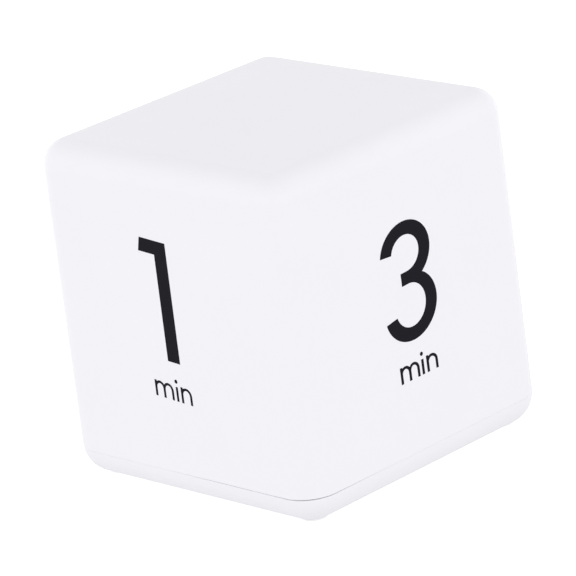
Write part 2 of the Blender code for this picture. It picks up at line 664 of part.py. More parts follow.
def make_cells():
    """Two AAA cells; the second is turned end for end."""
    shoulder = CELL_LENGTH - CELL_NUB
    rim = 0.4 * MM
    profile = ((0, rim), (CELL_RADIUS * 0.7, rim), (CELL_RADIUS * 0.8, 0), (CELL_RADIUS - rim, 0),
               (CELL_RADIUS, rim), (CELL_RADIUS, shoulder - rim), (CELL_RADIUS - rim, shoulder),
               (CELL_NUB_RADIUS, shoulder), (CELL_NUB_RADIUS, CELL_LENGTH - rim / 2),
               (CELL_NUB_RADIUS - rim / 2, CELL_LENGTH), (0, CELL_LENGTH))
    turned("battery_cell_1", profile, CELL, along_x(CELL_PLUS_X - CELL_LENGTH, CELL_1_Y, CELL_Z, 1))
    turned("battery_cell_2", profile, CELL, along_x(CELL_LENGTH - CELL_PLUS_X, CELL_2_Y, CELL_Z, -1))


def wire(name, points, radius, material, resolution):
    """A round wire or lead through the points, with flat closed ends."""
    curve = bpy.data.curves.new(name, "CURVE")
    curve.dimensions = "3D"
    curve.bevel_depth = radius
    curve.bevel_resolution = resolution
    curve.use_fill_caps = True
    spline = curve.splines.new("POLY")
    spline.points.add(len(points) - 1)
    for point, place in zip(spline.points, points):
        point.co = (*place, 1.0)
    curve.materials.append(material)
    body = bpy.data.objects.new(name, curve)
    bpy.context.scene.collection.objects.link(body)
    return body


def least_gap(points, radius, apart):
    """Least clear distance between stretches of one wire at least apart points from each other."""
    gap = math.inf
    for i, first in enumerate(points):
        for second in points[i + apart:]:
            gap = min(gap, (Vector(first) - Vector(second)).length - 2 * radius)
    return gap


def make_springs():
    """A tapered coil behind the flat end of each cell, wide at its contact plate and narrow at the cell."""
    cell_end = CELL_PLUS_X - CELL_LENGTH
    start = CONTACT_X - SPRING_END_GAP - SPRING_WIRE_RADIUS
    length = start - abs(cell_end) - SPRING_END_GAP - SPRING_WIRE_RADIUS
    count = SPRING_CURLS * SPRING_POINTS
    for name, y, sign in (("battery_spring_1", CELL_1_Y, -1), ("battery_spring_2", CELL_2_Y, 1)):
        points = []
        for i in range(count + 1):
            share = i / count
            angle = share * SPRING_CURLS * math.tau
            radius = SPRING_WALL_RADIUS + (SPRING_CELL_RADIUS - SPRING_WALL_RADIUS) * share
            points.append((sign * (start - length * share), y + radius * math.cos(angle),
                           CELL_Z + radius * math.sin(angle)))
        wire(name, points, SPRING_WIRE_RADIUS, STEEL, 1)
        gap = least_gap(points, SPRING_WIRE_RADIUS, SPRING_POINTS // 2)
        print(f"{name}: least gap between curls {gap / MM:.2f} mm, over {LEAST_WIRE_GAP / MM:.1f} mm wanted")


def dimple(y, sign):
    """The boss of a contact plate that meets the cell's nub."""
    profile = ((0, -CONTACT / 2), (DIMPLE_RADIUS, -CONTACT / 2), (DIMPLE_TIP_RADIUS, DIMPLE_HEIGHT),
               (0, DIMPLE_HEIGHT))
    return turned("dimple", profile, STEEL, along_x(-sign * CONTACT_X, y, CELL_Z, sign), SMALL_SIDES)


def make_contacts():
    """Spring-steel plates: one bridges the cells at -X, two with tails carry the leads at +X."""
    bridge = block("bridge_contact", (-CONTACT_X - CONTACT, CELL_1_Y - CONTACT_HALF, CONTACT_LOW_Z),
                   (-CONTACT_X, CELL_2_Y + CONTACT_HALF, CONTACT_HIGH_Z), STEEL)
    weld(bridge, [dimple(CELL_2_Y, 1)])
    for name, y in (("positive_contact", CELL_1_Y), ("negative_contact", CELL_2_Y)):
        contact = block(name, (CONTACT_X, y - CONTACT_HALF, CONTACT_LOW_Z),
                        (CONTACT_X + CONTACT, y + CONTACT_HALF, CONTACT_HIGH_Z), STEEL)
        parts = [block("tail", (CONTACT_X, y - TAIL_HALF, CONTACT_HIGH_Z - OVERCUT),
                       (CONTACT_X + CONTACT, y + TAIL_HALF, TAIL_TOP), STEEL)]
        if name == "positive_contact":
            parts.append(dimple(y, -1))
        weld(contact, parts)


def make_display():
    """Lens, glass, the holder round the glass and the rubber strip that joins it to the board."""
    block("lcd_window", (LENS_X[0], LENS_Y[0], LENS_Z[0]), (LENS_X[1], LENS_Y[1], LENS_Z[1]), LENS,
          bevel=FIT / 2)
    block("lcd_glass", GLASS_LOW, GLASS_HIGH, GLASS)
    holder = block("lcd_holder", HOLDER_LOW, HOLDER_HIGH, WHITE)
    low, high = Vector(HOLDER_LOW), Vector(HOLDER_HIGH)
    wall = Vector((HOLDER_WALL, HOLDER_WALL, -OVERCUT))
    cut(holder, [block("holder_hollow", low + wall, high - wall)])
    block("zebra_strip", ZEBRA_LOW, ZEBRA_HIGH, RUBBER)


def make_board():
    """The main board, notched round the corner bosses and drilled for its screws and sensor pins."""
    board = block("main_board", (-BOARD_HALF_X, BOARD_Y[0], BOARD_Z[0]),
                  (BOARD_HALF_X, BOARD_Y[1], BOARD_Z[1]), BOARD)
    low, high = BOARD_Z[0] - OVERCUT, BOARD_Z[1] + OVERCUT
    edge = BOARD_HALF_X + OVERCUT
    far = BOARD_Y[1] + OVERCUT
    cutters = [block("notch", (-edge, BOARD_NOTCH, low), (-BOARD_NOTCH, far, high)),
               block("notch", (BOARD_NOTCH, BOARD_NOTCH, low), (edge, far, high))]
    for at in BOARD_POSTS:
        cutters.append(upright("hole", at, BOARD_POST_BORE, low, high))
    for at in pin_places():
        cutters.append(upright("hole", at, PIN_HOLE_RADIUS, low, high, sides=8))
    cut(board, cutters)


def make_board_parts():
    """The parts that are soldered on top of the board."""
    floor = BOARD_Z[1] + PART_GAP
    dome = [(0, 0), (CHIP_RADIUS, 0)]
    for step in range(1, 5):
        angle = step / 4 * math.pi / 2
        dome.append((CHIP_RADIUS * math.cos(angle), CHIP_HEIGHT * math.sin(angle)))
    turned("chip_blob", dome, EPOXY, Matrix.Translation((*CHIP_AT, floor)), SMALL_SIDES)
    can = ((0, 0), (CRYSTAL_RADIUS, 0), (CRYSTAL_RADIUS, CRYSTAL_LENGTH), (0, CRYSTAL_LENGTH))
    lying = along_x(CRYSTAL_AT[0], CRYSTAL_AT[1], floor + CRYSTAL_RADIUS, 1)
    turned("crystal", can, STEEL, lying, SMALL_SIDES)
    rim = 0.3 * MM
    sleeve = ((0, 0), (CAPACITOR_RADIUS, 0), (CAPACITOR_RADIUS, CAPACITOR_HEIGHT - rim),
              (CAPACITOR_RADIUS - rim, CAPACITOR_HEIGHT), (0, CAPACITOR_HEIGHT))
    turned("capacitor", sleeve, SLEEVE, Matrix.Translation((*CAPACITOR_AT, floor)), SMALL_SIDES)
    drum = ((0, 0), (COIL_RADIUS, 0), (COIL_RADIUS, COIL_FLANGE), (COIL_WAIST_RADIUS, COIL_FLANGE),
            (COIL_WAIST_RADIUS, COIL_HEIGHT - COIL_FLANGE), (COIL_RADIUS, COIL_HEIGHT - COIL_FLANGE),
            (COIL_RADIUS, COIL_HEIGHT), (0, COIL_HEIGHT))
    turned("boost_coil", drum, EPOXY, Matrix.Translation((*COIL_AT, floor)), SMALL_SIDES)
    x, y = TRANSISTOR_AT
    width, depth, height = TRANSISTOR_SIZE
    block("transistor", (x - width / 2, y - depth / 2, floor),
          (x + width / 2, y + depth / 2, floor + height), EPOXY, bevel=FIT)


def pin_places():
    return [(TILT_AT[0] + x, TILT_AT[1] + y) for x, y in corners(PIN_REACH)]


def make_tilt_sensor():
    """A ball that rolls between four pins as the cube is turned, in a box with a lid."""
    x, y = TILT_AT
    floor = BOARD_Z[1] + PART_GAP
    box = block("tilt_housing", (x - TILT_HALF, y - TILT_HALF, floor),
                (x + TILT_HALF, y + TILT_HALF, TILT_BOX_TOP), EPOXY)
    inner = TILT_HALF - TILT_WALL
    cutters = [block("hollow", (x - inner, y - inner, floor + TILT_WALL),
                     (x + inner, y + inner, TILT_BOX_TOP + OVERCUT))]
    for at in pin_places():
        cutters.append(upright("hole", at, PIN_HOLE_RADIUS, floor - OVERCUT, floor + TILT_WALL + OVERCUT,
                               sides=8))
    cut(box, cutters)
    cap_floor = TILT_BOX_TOP + PART_GAP
    block("tilt_cap", (x - TILT_HALF, y - TILT_HALF, cap_floor),
          (x + TILT_HALF, y + TILT_HALF, cap_floor + TILT_CAP), EPOXY, bevel=FIT)
    for number, at in enumerate(pin_places(), 1):
        upright(f"tilt_pin_{number}", at, PIN_RADIUS, PIN_BOTTOM, PIN_TOP, BRASS, sides=8)
    centre = Vector((x, y, floor + TILT_WALL + BALL_GAP + BALL_RADIUS))
    bm = bmesh.new()
    bmesh.ops.create_icosphere(bm, subdivisions=2, radius=BALL_RADIUS)
    ball = solid("tilt_ball", bm, STEEL, Matrix.Translation(centre), smooth_angle=60.0)
    hang(ball, empty("tilt_slide", centre))


def centred(name, centre_x, half, z_range, material=None):
    """A box about a point on the switch's centre line."""
    return block(name, (centre_x - half[0], SWITCH_Y - half[1], z_range[0]),
                 (centre_x + half[0], SWITCH_Y + half[1], z_range[1]), material)


def make_switch():
    """The slide switch at its OFF end: a metal frame under the board and a knob in the base."""
    frame = centred("switch_frame", 0.0, SWITCH_FRAME, SWITCH_FRAME_Z, STEEL)
    inner = (SWITCH_FRAME[0] - SWITCH_FRAME_WALL, SWITCH_FRAME[1] - SWITCH_FRAME_WALL)
    room = (SWITCH_FRAME_Z[0] + SWITCH_FRAME_WALL, SWITCH_FRAME_Z[1] - SWITCH_FRAME_WALL)
    way_in = (SWITCH_FRAME_Z[0] - OVERCUT, room[0] + OVERCUT)
    cut(frame, [centred("room", 0.0, inner, room), centred("way_in", 0.0, SWITCH_FRAME_SLOT, way_in)])
    rest = -SWITCH_TRAVEL / 2
    knob = centred("switch_knob", rest, KNOB_THUMB, KNOB_THUMB_Z, INK)
    neck = centred("neck", rest, KNOB_NECK, (KNOB_THUMB_Z[1] - FIT, KNOB_SLIDER_Z[0] + FIT), INK)
    weld(knob, [neck, centred("slider", rest, KNOB_SLIDER, KNOB_SLIDER_Z, INK)])
    grooves = []
    for i in range(KNOB_GROOVES):
        x = rest + (i - (KNOB_GROOVES - 1) / 2) * KNOB_GROOVE_PITCH
        grooves.append(centred("groove", x, (KNOB_GROOVE / 2, KNOB_THUMB[1] + OVERCUT),
                               (KNOB_THUMB_Z[0] - OVERCUT, KNOB_THUMB_Z[0] + KNOB_GROOVE / 2)))
    cut(knob, grooves)
    hang(knob, empty("switch_slide", (rest, SWITCH_Y, KNOB_THUMB_Z[0])))


def make_buzzer():
    upright("buzzer_disc", BUZZER_AT, BUZZER_RADIUS, *BUZZER_Z, BRASS, sides=SIDES)
    upright("buzzer_ceramic", BUZZER_AT, CERAMIC_RADIUS, *CERAMIC_Z, CERAMIC, sides=SIDES)


def smooth_route(route):
    """Points a set distance apart on a smooth curve through the places of a route."""
    places = [Vector(place) for place in route]
    places = [2 * places[0] - places[1]] + places + [2 * places[-1] - places[-2]]
    points = [places[1]]
    for before, start, end, after in zip(places, places[1:], places[2:], places[3:]):
        steps = max(1, round((end - start).length / LEAD_POINT_SPACING))
        for step in range(1, steps + 1):
            t = step / steps
            square = (2 * before - 5 * start + 4 * end - after) * t ** 2
            cube = (3 * start - before - 3 * end + after) * t ** 3
            points.append(start + 0.5 * ((end - before) * t + square + cube))
    return points


def make_leads():
    """Leads from the contacts and the buzzer to the board, held at both ends by their solder."""
    wire("battery_lead_red", smooth_route(BATTERY_RED_ROUTE), LEAD_RADIUS, RED_LEAD, 2)
    wire("battery_lead_black", smooth_route(BATTERY_BLACK_ROUTE), LEAD_RADIUS, INK, 2)
    wire("buzzer_lead_red", smooth_route(BUZZER_RED_ROUTE), LEAD_RADIUS, RED_LEAD, 2)
    wire("buzzer_lead_black", smooth_route(BUZZER_BLACK_ROUTE), LEAD_RADIUS, INK, 2)


def screw(name, place, head_radius, head_height, shank_radius, length):
    """A pan-head screw with a cross recess, its head at its own origin and its shank up its Z."""
    tip = shank_radius * 0.6
    profile = ((0, 0), (head_radius * 0.75, 0), (head_radius, head_height * 0.45), (head_radius, head_height),
               (shank_radius, head_height), (shank_radius, head_height + length - tip),
               (shank_radius - tip, head_height + length), (0, head_height + length))
    body = turned(name, profile, STEEL, Matrix.Identity(4), SMALL_SIDES)
    long, short, deep = head_radius * 0.55, head_radius * 0.16, head_height * 0.5
    across = block("recess", (-long, -short, -OVERCUT), (long, short, deep))
    along = block("recess", (-short, -long, -OVERCUT), (short, long, deep))
    cut(body, [weld(across, [along])])
    body.matrix_world = place
    return body


def make_screws():
    """Four case screws driven from below and three board screws driven from above."""
    for number, at in enumerate(corners(SCREW_REACH), 1):
        place = Matrix.Translation((*at, SCREW_SEAT - FIT - SCREW_HEAD_HEIGHT))
        screw(f"base_screw_{number}", place, SCREW_HEAD_RADIUS, SCREW_HEAD_HEIGHT, SCREW_SHANK_RADIUS,
              SCREW_LENGTH)
    upside_down = Matrix.Rotation(math.pi, 4, "X")
    for number, at in enumerate(BOARD_POSTS, 1):
        place = Matrix.Translation((*at, BOARD_Z[1] + FIT + BOARD_SCREW_HEAD_HEIGHT)) @ upside_down
        screw(f"board_screw_{number}", place, BOARD_SCREW_HEAD_RADIUS, BOARD_SCREW_HEAD_HEIGHT,
              BOARD_SCREW_SHANK_RADIUS, BOARD_SCREW_LENGTH)


for leftover in list(bpy.data.objects):
    bpy.data.objects.remove(leftover)

WHITE = finish("white_abs", (0.84, 0.83, 0.87), 0.32)
INK = finish("black_ink", (0.013, 0.013, 0.018), 0.4)
STEEL = finish("nickel_plated_steel", (0.62, 0.61, 0.58), 0.28, 1.0)
BRASS = finish("brass", (0.72, 0.52, 0.22), 0.3, 1.0)
CERAMIC = finish("fired_ceramic", (0.78, 0.76, 0.70), 0.5)
CELL = finish("cell_jacket", (0.05, 0.05, 0.06), 0.35)
LENS = finish("clear_acrylic", (0.55, 0.60, 0.60), 0.08)
GLASS = finish("display_glass", (0.35, 0.40, 0.34), 0.15)
RUBBER = finish("silicone_rubber", (0.30, 0.32, 0.36), 0.7)
BOARD = finish("green_circuit_board", (0.03, 0.17, 0.07), 0.45)
EPOXY = finish("black_epoxy", (0.02, 0.02, 0.02), 0.35)
SLEEVE = finish("blue_sleeve", (0.03, 0.08, 0.30), 0.35)
RED_LEAD = finish("red_lead", (0.45, 0.02, 0.02), 0.4)

make_housing()
make_base_cover()
make_door()
make_cells()
make_springs()
make_contacts()
make_display()
make_board()
make_board_parts()
make_tilt_sensor()
make_switch()
make_buzzer()
make_leads()
make_screws()
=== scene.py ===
"""Looks of a cube timer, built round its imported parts.

Shapes are made in millimetres, and dress() brings each finished piece to metres. The sections
follow the timer as it is put together, from the base cover to the battery door.
"""
import math

import bmesh
import bpy
from mathutils import Matrix, Vector


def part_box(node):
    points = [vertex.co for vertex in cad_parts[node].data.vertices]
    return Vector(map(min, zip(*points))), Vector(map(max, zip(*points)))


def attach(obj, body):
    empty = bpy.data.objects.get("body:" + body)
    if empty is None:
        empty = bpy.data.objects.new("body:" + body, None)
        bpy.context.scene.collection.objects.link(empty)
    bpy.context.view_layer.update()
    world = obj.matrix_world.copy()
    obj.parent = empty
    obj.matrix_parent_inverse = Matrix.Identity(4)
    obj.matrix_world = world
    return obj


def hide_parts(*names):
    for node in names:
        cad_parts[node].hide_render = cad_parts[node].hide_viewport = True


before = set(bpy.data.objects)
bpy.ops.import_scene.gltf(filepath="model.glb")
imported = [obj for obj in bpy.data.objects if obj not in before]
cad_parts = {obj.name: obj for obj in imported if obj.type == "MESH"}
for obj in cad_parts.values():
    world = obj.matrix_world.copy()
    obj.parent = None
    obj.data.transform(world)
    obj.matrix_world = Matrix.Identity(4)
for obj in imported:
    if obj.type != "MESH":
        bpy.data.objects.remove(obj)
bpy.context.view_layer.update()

# Base cover
# An injection-moulded tray of white ABS that closes the cube from below. One moulding carries the
# battery bay, the display's frame, the screw posts and the buzzer's ring, and its lip goes up
# inside the housing, whose rim it meets at the seam.
MM = 0.001
# Points that are nearer to each other than this, in millimetres, are made one.
MERGE_REACH = 0.0005


def span(node_name):
    """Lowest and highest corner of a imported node, in millimetres."""
    low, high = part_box(node_name)
    return low / MM, high / MM


def middle(node_name):
    """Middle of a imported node, in millimetres."""
    low, high = span(node_name)
    return (low + high) / 2


def linear(colour):
    """An sRGB hex colour as the linear RGBA that shaders take."""
    channels = [int(colour[i:i + 2], 16) / 255 for i in (1, 3, 5)]
    return [c / 12.92 if c <= 0.04045 else ((c + 0.055) / 1.055) ** 2.4 for c in channels] + [1.0]


def add_node(tree, kind, inputs=None, **settings):
    """A shader node with its settings; an input is a value, or the output that it is linked to."""
    made = tree.nodes.new("ShaderNode" + kind)
    for name, value in settings.items():
        setattr(made, name, value)
    for key, value in (inputs or {}).items():
        if isinstance(value, bpy.types.NodeSocket):
            tree.links.new(value, made.inputs[key])
        else:
            made.inputs[key].default_value = value
    return made


def new_material(name, tones, roughness, patch, grain, relief, metallic=0.0, ior=1.5, specular=0.5,
                 coat=0.0, clear=0.0):
    """Two close tones in soft patches, and a fine relief of a given grain; sizes in millimetres."""
    material = bpy.data.materials.new(name)
    material.use_nodes = True
    tree = material.node_tree
    shader = tree.nodes["Principled BSDF"]
    for socket, value in (("Metallic", metallic), ("IOR", ior), ("Specular IOR Level", specular),
                          ("Coat Weight", coat), ("Transmission Weight", clear)):
        shader.inputs[socket].default_value = value
    place = add_node(tree, "TexCoord").outputs["Object"]
    patches = add_node(tree, "TexNoise", {"Vector": place, "Scale": 1 / (patch * MM),
                                                    "Detail": 2.0})
    share = patches.outputs["Fac"]
    shade = add_node(tree, "Mix", {0: share, 6: linear(tones[0]), 7: linear(tones[1])},
                     data_type="RGBA")
    gloss = add_node(tree, "MapRange", {"Value": share, "To Min": roughness - 0.04,
                                                  "To Max": roughness + 0.04})
    fine = add_node(tree, "Mapping", {"Vector": place,
                                                "Scale": [1 / (size * MM) for size in grain]})
    pores = add_node(tree, "TexNoise", {"Vector": fine.outputs[0], "Scale": 1.0, "Detail": 3.0})
    bump = add_node(tree, "Bump", {"Height": pores.outputs["Fac"], "Distance": relief * MM})
    tree.links.new(shade.outputs[2], shader.inputs["Base Color"])
    tree.links.new(gloss.outputs["Result"], shader.inputs["Roughness"])
    tree.links.new(bump.outputs["Normal"], shader.inputs["Normal"])
    return material


def new_object(name, bm):
    """An object in the scene from a bmesh."""
    mesh = bpy.data.meshes.new(name)
    bm.to_mesh(mesh)
    bm.free()
    made = bpy.data.objects.new(name, mesh)
    bpy.context.scene.collection.objects.link(made)
    return made


def mesh_of(piece):
    """The piece's mesh as a bmesh."""
    bm = bmesh.new()
    bm.from_mesh(piece.data)
    return bm


def put_back(bm, piece):
    """Give the piece a changed bmesh."""
    bm.to_mesh(piece.data)
    bm.free()
    return piece


def taken(piece):
    """The bmesh of a helper piece, which itself goes."""
    bm = mesh_of(piece)
    bpy.data.objects.remove(piece)
    return bm


def settle(piece):
    """Give the piece the mesh that its modifiers make, and take them off."""
    bpy.context.view_layer.update()
    graph = bpy.context.evaluated_depsgraph_get()
    piece.data = bpy.data.meshes.new_from_object(piece.evaluated_get(graph))
    piece.modifiers.clear()
    return piece


def centred(at, half_x, half_y, bottom, top, *rounding):
    """A block's two corners, from its middle and half sizes in plan and its two heights."""
    return ((at[0] - half_x, at[1] - half_y, bottom), (at[0] + half_x, at[1] + half_y, top), *rounding)


def around(low, high, grow_x, grow_y, bottom, top, *rounding):
    """A block's two corners, from a plan that grows to all sides and its two heights."""
    return ((low.x - grow_x, low.y - grow_y, bottom), (high.x + grow_x, high.y + grow_y, top), *rounding)


def add_block(bm, low, high, edge=0.0, corner=0.0, axis=2):
    """A box between two points; corners about one axis, and then all edges, rounded where asked."""
    low, high = Vector(low), Vector(high)
    before = set(bm.verts)
    place = Matrix.Translation((low + high) / 2) @ Matrix.Diagonal((*(high - low), 1.0))
    bmesh.ops.create_cube(bm, size=1.0, matrix=place)
    for radius, segments in ((corner, 8), (edge, 3)):
        if not radius:
            continue
        edges = {e for vert in bm.verts if vert not in before for e in vert.link_edges}
        if radius == corner:
            chosen = [e for e in edges if abs((e.verts[0].co - e.verts[1].co).normalized()[axis]) > 0.99]
        else:
            chosen = [e for e in edges if e.calc_face_angle(0.0) > 1.0]
        bmesh.ops.bevel(bm, geom=chosen, offset=radius, offset_type="OFFSET", segments=segments,
                        profile=0.5, affect="EDGES", material=-1)


def add_post(bm, at, bottom, top, radius, top_radius=None, sides=40):
    """A round post that stands at a point of the floor plan."""
    bmesh.ops.create_cone(bm, cap_ends=True, segments=sides, radius1=radius,
                          radius2=radius if top_radius is None else top_radius, depth=top - bottom,
                          matrix=Matrix.Translation((at[0], at[1], (bottom + top) / 2)))


def add_flare(bm, low, high, depth):
    """A cutter that breaks the lower edges of a square opening in the base at 45 degrees."""
    half_x, half_y = (high[0] - low[0]) / 2, (high[1] - low[1]) / 2
    verts = bmesh.ops.create_cube(bm, size=2.0)["verts"]
    for side, outward in ((1, 0), (-1, 2 * depth)):
        level = [vert for vert in verts if vert.co.z * side > 0]
        bmesh.ops.scale(bm, vec=(half_x + outward, half_y + outward, depth), verts=level)
    bmesh.ops.translate(bm, vec=(low[0] + half_x, low[1] + half_y, 0), verts=verts)


def block_piece(name, *blocks):
    """A piece that starts as one rounded block or more."""
    bm = bmesh.new()
    for block in blocks:
        add_block(bm, *block)
    return new_object(name, bm)


def combine(piece, operation, blocks=(), posts=(), tools=None, crossing=False):
    """Weld blocks, posts or other tools to the piece, or cut them away; they may cross if told."""
    if tools is None:
        tools = bmesh.new()
    for block in blocks:
        add_block(tools, *block)
    for post in posts:
        add_post(tools, *post)
    tool = new_object("tool", tools)
    change = piece.modifiers.new("change", "BOOLEAN")
    change.operation = operation
    change.solver = "EXACT"
    change.use_self = crossing
    change.object = tool
    settle(piece)
    bpy.data.objects.remove(tool)
    bm = mesh_of(piece)
    bmesh.ops.remove_doubles(bm, verts=bm.verts, dist=MERGE_REACH)
    return put_back(bm, piece)


def dress(piece, material, slot, *stands_for, body="case", smooth=35.0):
    """Bring a finished piece to metres, give it its finish and let it ride on its body."""
    piece.data.transform(Matrix.Scale(MM, 4))
    piece.data.materials.clear()
    piece.data.materials.append(material)
    piece.data.shade_smooth()
    piece.data.set_sharp_from_angle(angle=math.radians(smooth))
    weights = piece.modifiers.new("weighted normals", "WEIGHTED_NORMAL")
    weights.keep_sharp = True
    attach(piece, body)
    if stands_for:
        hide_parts(*stands_for)


HOUSING_LOW, HOUSING_HIGH = span("housing")
BODY_HEIGHT = HOUSING_HIGH.z
HALF_AT_TOP = 30.3
SIDE_SLOPE = (HOUSING_HIGH.x - HALF_AT_TOP) / (BODY_HEIGHT - HOUSING_LOW.z)
HALF_AT_BASE = HOUSING_HIGH.x + SIDE_SLOPE * HOUSING_LOW.z
EDGE_RADIUS, FOOT_RADIUS, EDGE_SEGMENTS = 4.9, 6.0, 10
SEAM_HEIGHT, SEAM_STEPS = 5.6, 24
RIM_BREAK = 0.1
FRONT_CORNER = Vector((HALF_AT_BASE, -HALF_AT_BASE))


def body_form(name):
    """The cube's whole outer form: the hull round a ball in each corner, larger ones at the foot."""
    bm = bmesh.new()
    for radius, height in ((FOOT_RADIUS, FOOT_RADIUS), (EDGE_RADIUS, BODY_HEIGHT - EDGE_RADIUS)):
        reach = HALF_AT_BASE - SIDE_SLOPE * height - radius
        for x, y in ((reach, reach), (-reach, reach), (-reach, -reach), (reach, -reach)):
            bmesh.ops.create_uvsphere(bm, u_segments=4 * EDGE_SEGMENTS, v_segments=2 * EDGE_SEGMENTS,
                                      radius=radius, matrix=Matrix.Translation((x, y, height)))
    bmesh.ops.delete(bm, geom=bm.edges[:], context="EDGES_FACES")
    hull = bmesh.ops.convex_hull(bm, input=bm.verts)
    bmesh.ops.delete(bm, geom=hull["geom_interior"], context="VERTS")
    bmesh.ops.dissolve_limit(bm, angle_limit=math.radians(0.2), verts=bm.verts, edges=bm.edges)
    return new_object(name, bm)


def part_of_form(name, keep_above):
    """The body's form above or below the seam, with short steps along the cut's straight runs."""
    form = body_form(name)
    bm = mesh_of(form)
    bmesh.ops.bisect_plane(bm, geom=bm.verts[:] + bm.edges[:] + bm.faces[:], dist=0.0001,
                           plane_co=(0, 0, SEAM_HEIGHT), plane_no=(0, 0, 1), clear_inner=keep_above,
                           clear_outer=not keep_above)
    runs = [edge for edge in bm.edges if edge.is_boundary and edge.calc_length() > 10]
    bmesh.ops.subdivide_edges(bm, edges=runs, cuts=SEAM_STEPS)
    return put_back(bm, form)


def close_and_break_rim(piece):
    """Close the open form at the seam, and break its edge there, as a mould's parting edge is."""
    bm = mesh_of(piece)
    rim = [edge for edge in bm.edges if edge.is_boundary]
    bmesh.ops.contextual_create(bm, geom=rim)
    bmesh.ops.bevel(bm, geom=rim, offset=RIM_BREAK, offset_type="OFFSET", segments=2, profile=0.5,
                    affect="EDGES", material=-1)
    return put_back(bm, piece)


# Each cell, and which way along X its positive end points.
CELLS = (("battery_cell_1", 1), ("battery_cell_2", -1))
CELL_Y = {name: middle(name).y for name, sign in CELLS}
CELL_Z = middle("battery_cell_1").z
DOOR_LOW, DOOR_HIGH = span("battery_door")
DOOR_HALF = DOOR_HIGH.x
CATCH_LOW, CATCH_HIGH = span("door_catch")
CATCH_Y = (CATCH_LOW.y + CATCH_HIGH.y) / 2
LENS_LOW, LENS_HIGH = span("lcd_window")
BUZZER_AT = middle("buzzer_disc").xy
CASE_SCREWS = [middle(f"base_screw_{i}").xy for i in (1, 2, 3, 4)]
BOARD_SCREWS = [middle(f"board_screw_{i}").xy for i in (1, 2, 3)]
SWITCH_AT = Vector((0, middle("switch_knob").y))
FLOOR = 2.0
LIP_OUTER, LIP_INNER, LIP_TOP = 28.7, 27.5, 8.5
BAY_LOW, BAY_HIGH = (-25.9, -20.3), (25.9, 1.9)
BAY_ROOF, BAY_WALL, BAY_END = 13.4, 1.4, 27.8
RIB_HALF_LENGTH, RIB_HALF_WIDTH, RIB_FOOT = 20, 0.6, 11.6
TAIL_SLOT_START, TAIL_SLOT_END, TAIL_SLOT_HALF = 25.1, 25.85, 1.1
DOOR_GAP, DOOR_SEAT = 0.2, 1.95
CASE_SCREW_SEAT, CASE_POST_TOP, WELL_RADIUS, WELL_WALL = 3.0, 6.4, 2.2, 1.4
BOARD_POST_TOP, BOARD_POST_FOOT, BOARD_POST_TIP = 7.7, 2.1, 1.9
CASE_SCREW_BORE, BOARD_SCREW_BORE, BOARD_BORE_START = 1.25, 1.05, 4.2
FRAME_TOP, LENS_GAP, LENS_SEAT = 3.0, 0.12, 1.8
SWITCH_POCKET, SWITCH_POCKET_DEPTH, SWITCH_SLOT = (7.0, 3.0), 0.9, (4.6, 1.9)
BUZZER_RING, BUZZER_RING_TOP = 7.0, 4.5
BUZZER_SEAT, BUZZER_ROOM, AIR_CHAMBER = 2.8, 6.3, 5.2
SOUND_HOLE_RADIUS, SOUND_HOLE_REACH, HOLE_SIDES = 0.75, 3.0, 28
SOUND_HOLES = [BUZZER_AT]
SOUND_HOLES += [BUZZER_AT + Matrix.Rotation(i * math.tau / 6, 2) @ Vector((SOUND_HOLE_REACH, 0))
                for i in range(6)]
EDGE_BREAK = 0.22
SCOOP = (3.1, 5.0, 0.95)


def base_moulding():
    """Outer tray, lip, and everything that stands on the floor."""
    cover = close_and_break_rim(part_of_form("base_moulding", False))
    combine(cover, "UNION", [centred((0, 0), LIP_OUTER, LIP_OUTER, FLOOR + 1, LIP_TOP, 0.3, 3.0)])
    combine(cover, "DIFFERENCE", [centred((0, 0), LIP_INNER, LIP_INNER, FLOOR, LIP_TOP + 2, 0.5, 1.8)])
    combine(cover, "UNION", [((-BAY_END, BAY_LOW[1] - BAY_WALL, 1),
                              (BAY_END, BAY_HIGH[1] + BAY_WALL, BAY_ROOF + 1.5), 0.3, 0.6)])
    well = WELL_RADIUS + WELL_WALL
    combine(cover, "UNION", posts=[(at, 1, CASE_POST_TOP, well + 0.1, well - 0.1) for at in CASE_SCREWS])
    frame_block = around(LENS_LOW, LENS_HIGH, 2, 1, 1, FRAME_TOP, 0.15, 0.6)
    posts = [(at, 1, BOARD_POST_TOP, BOARD_POST_FOOT, BOARD_POST_TIP) for at in BOARD_SCREWS]
    return combine(cover, "UNION", [frame_block], posts + [(BUZZER_AT, 1, BUZZER_RING_TOP, BUZZER_RING)])


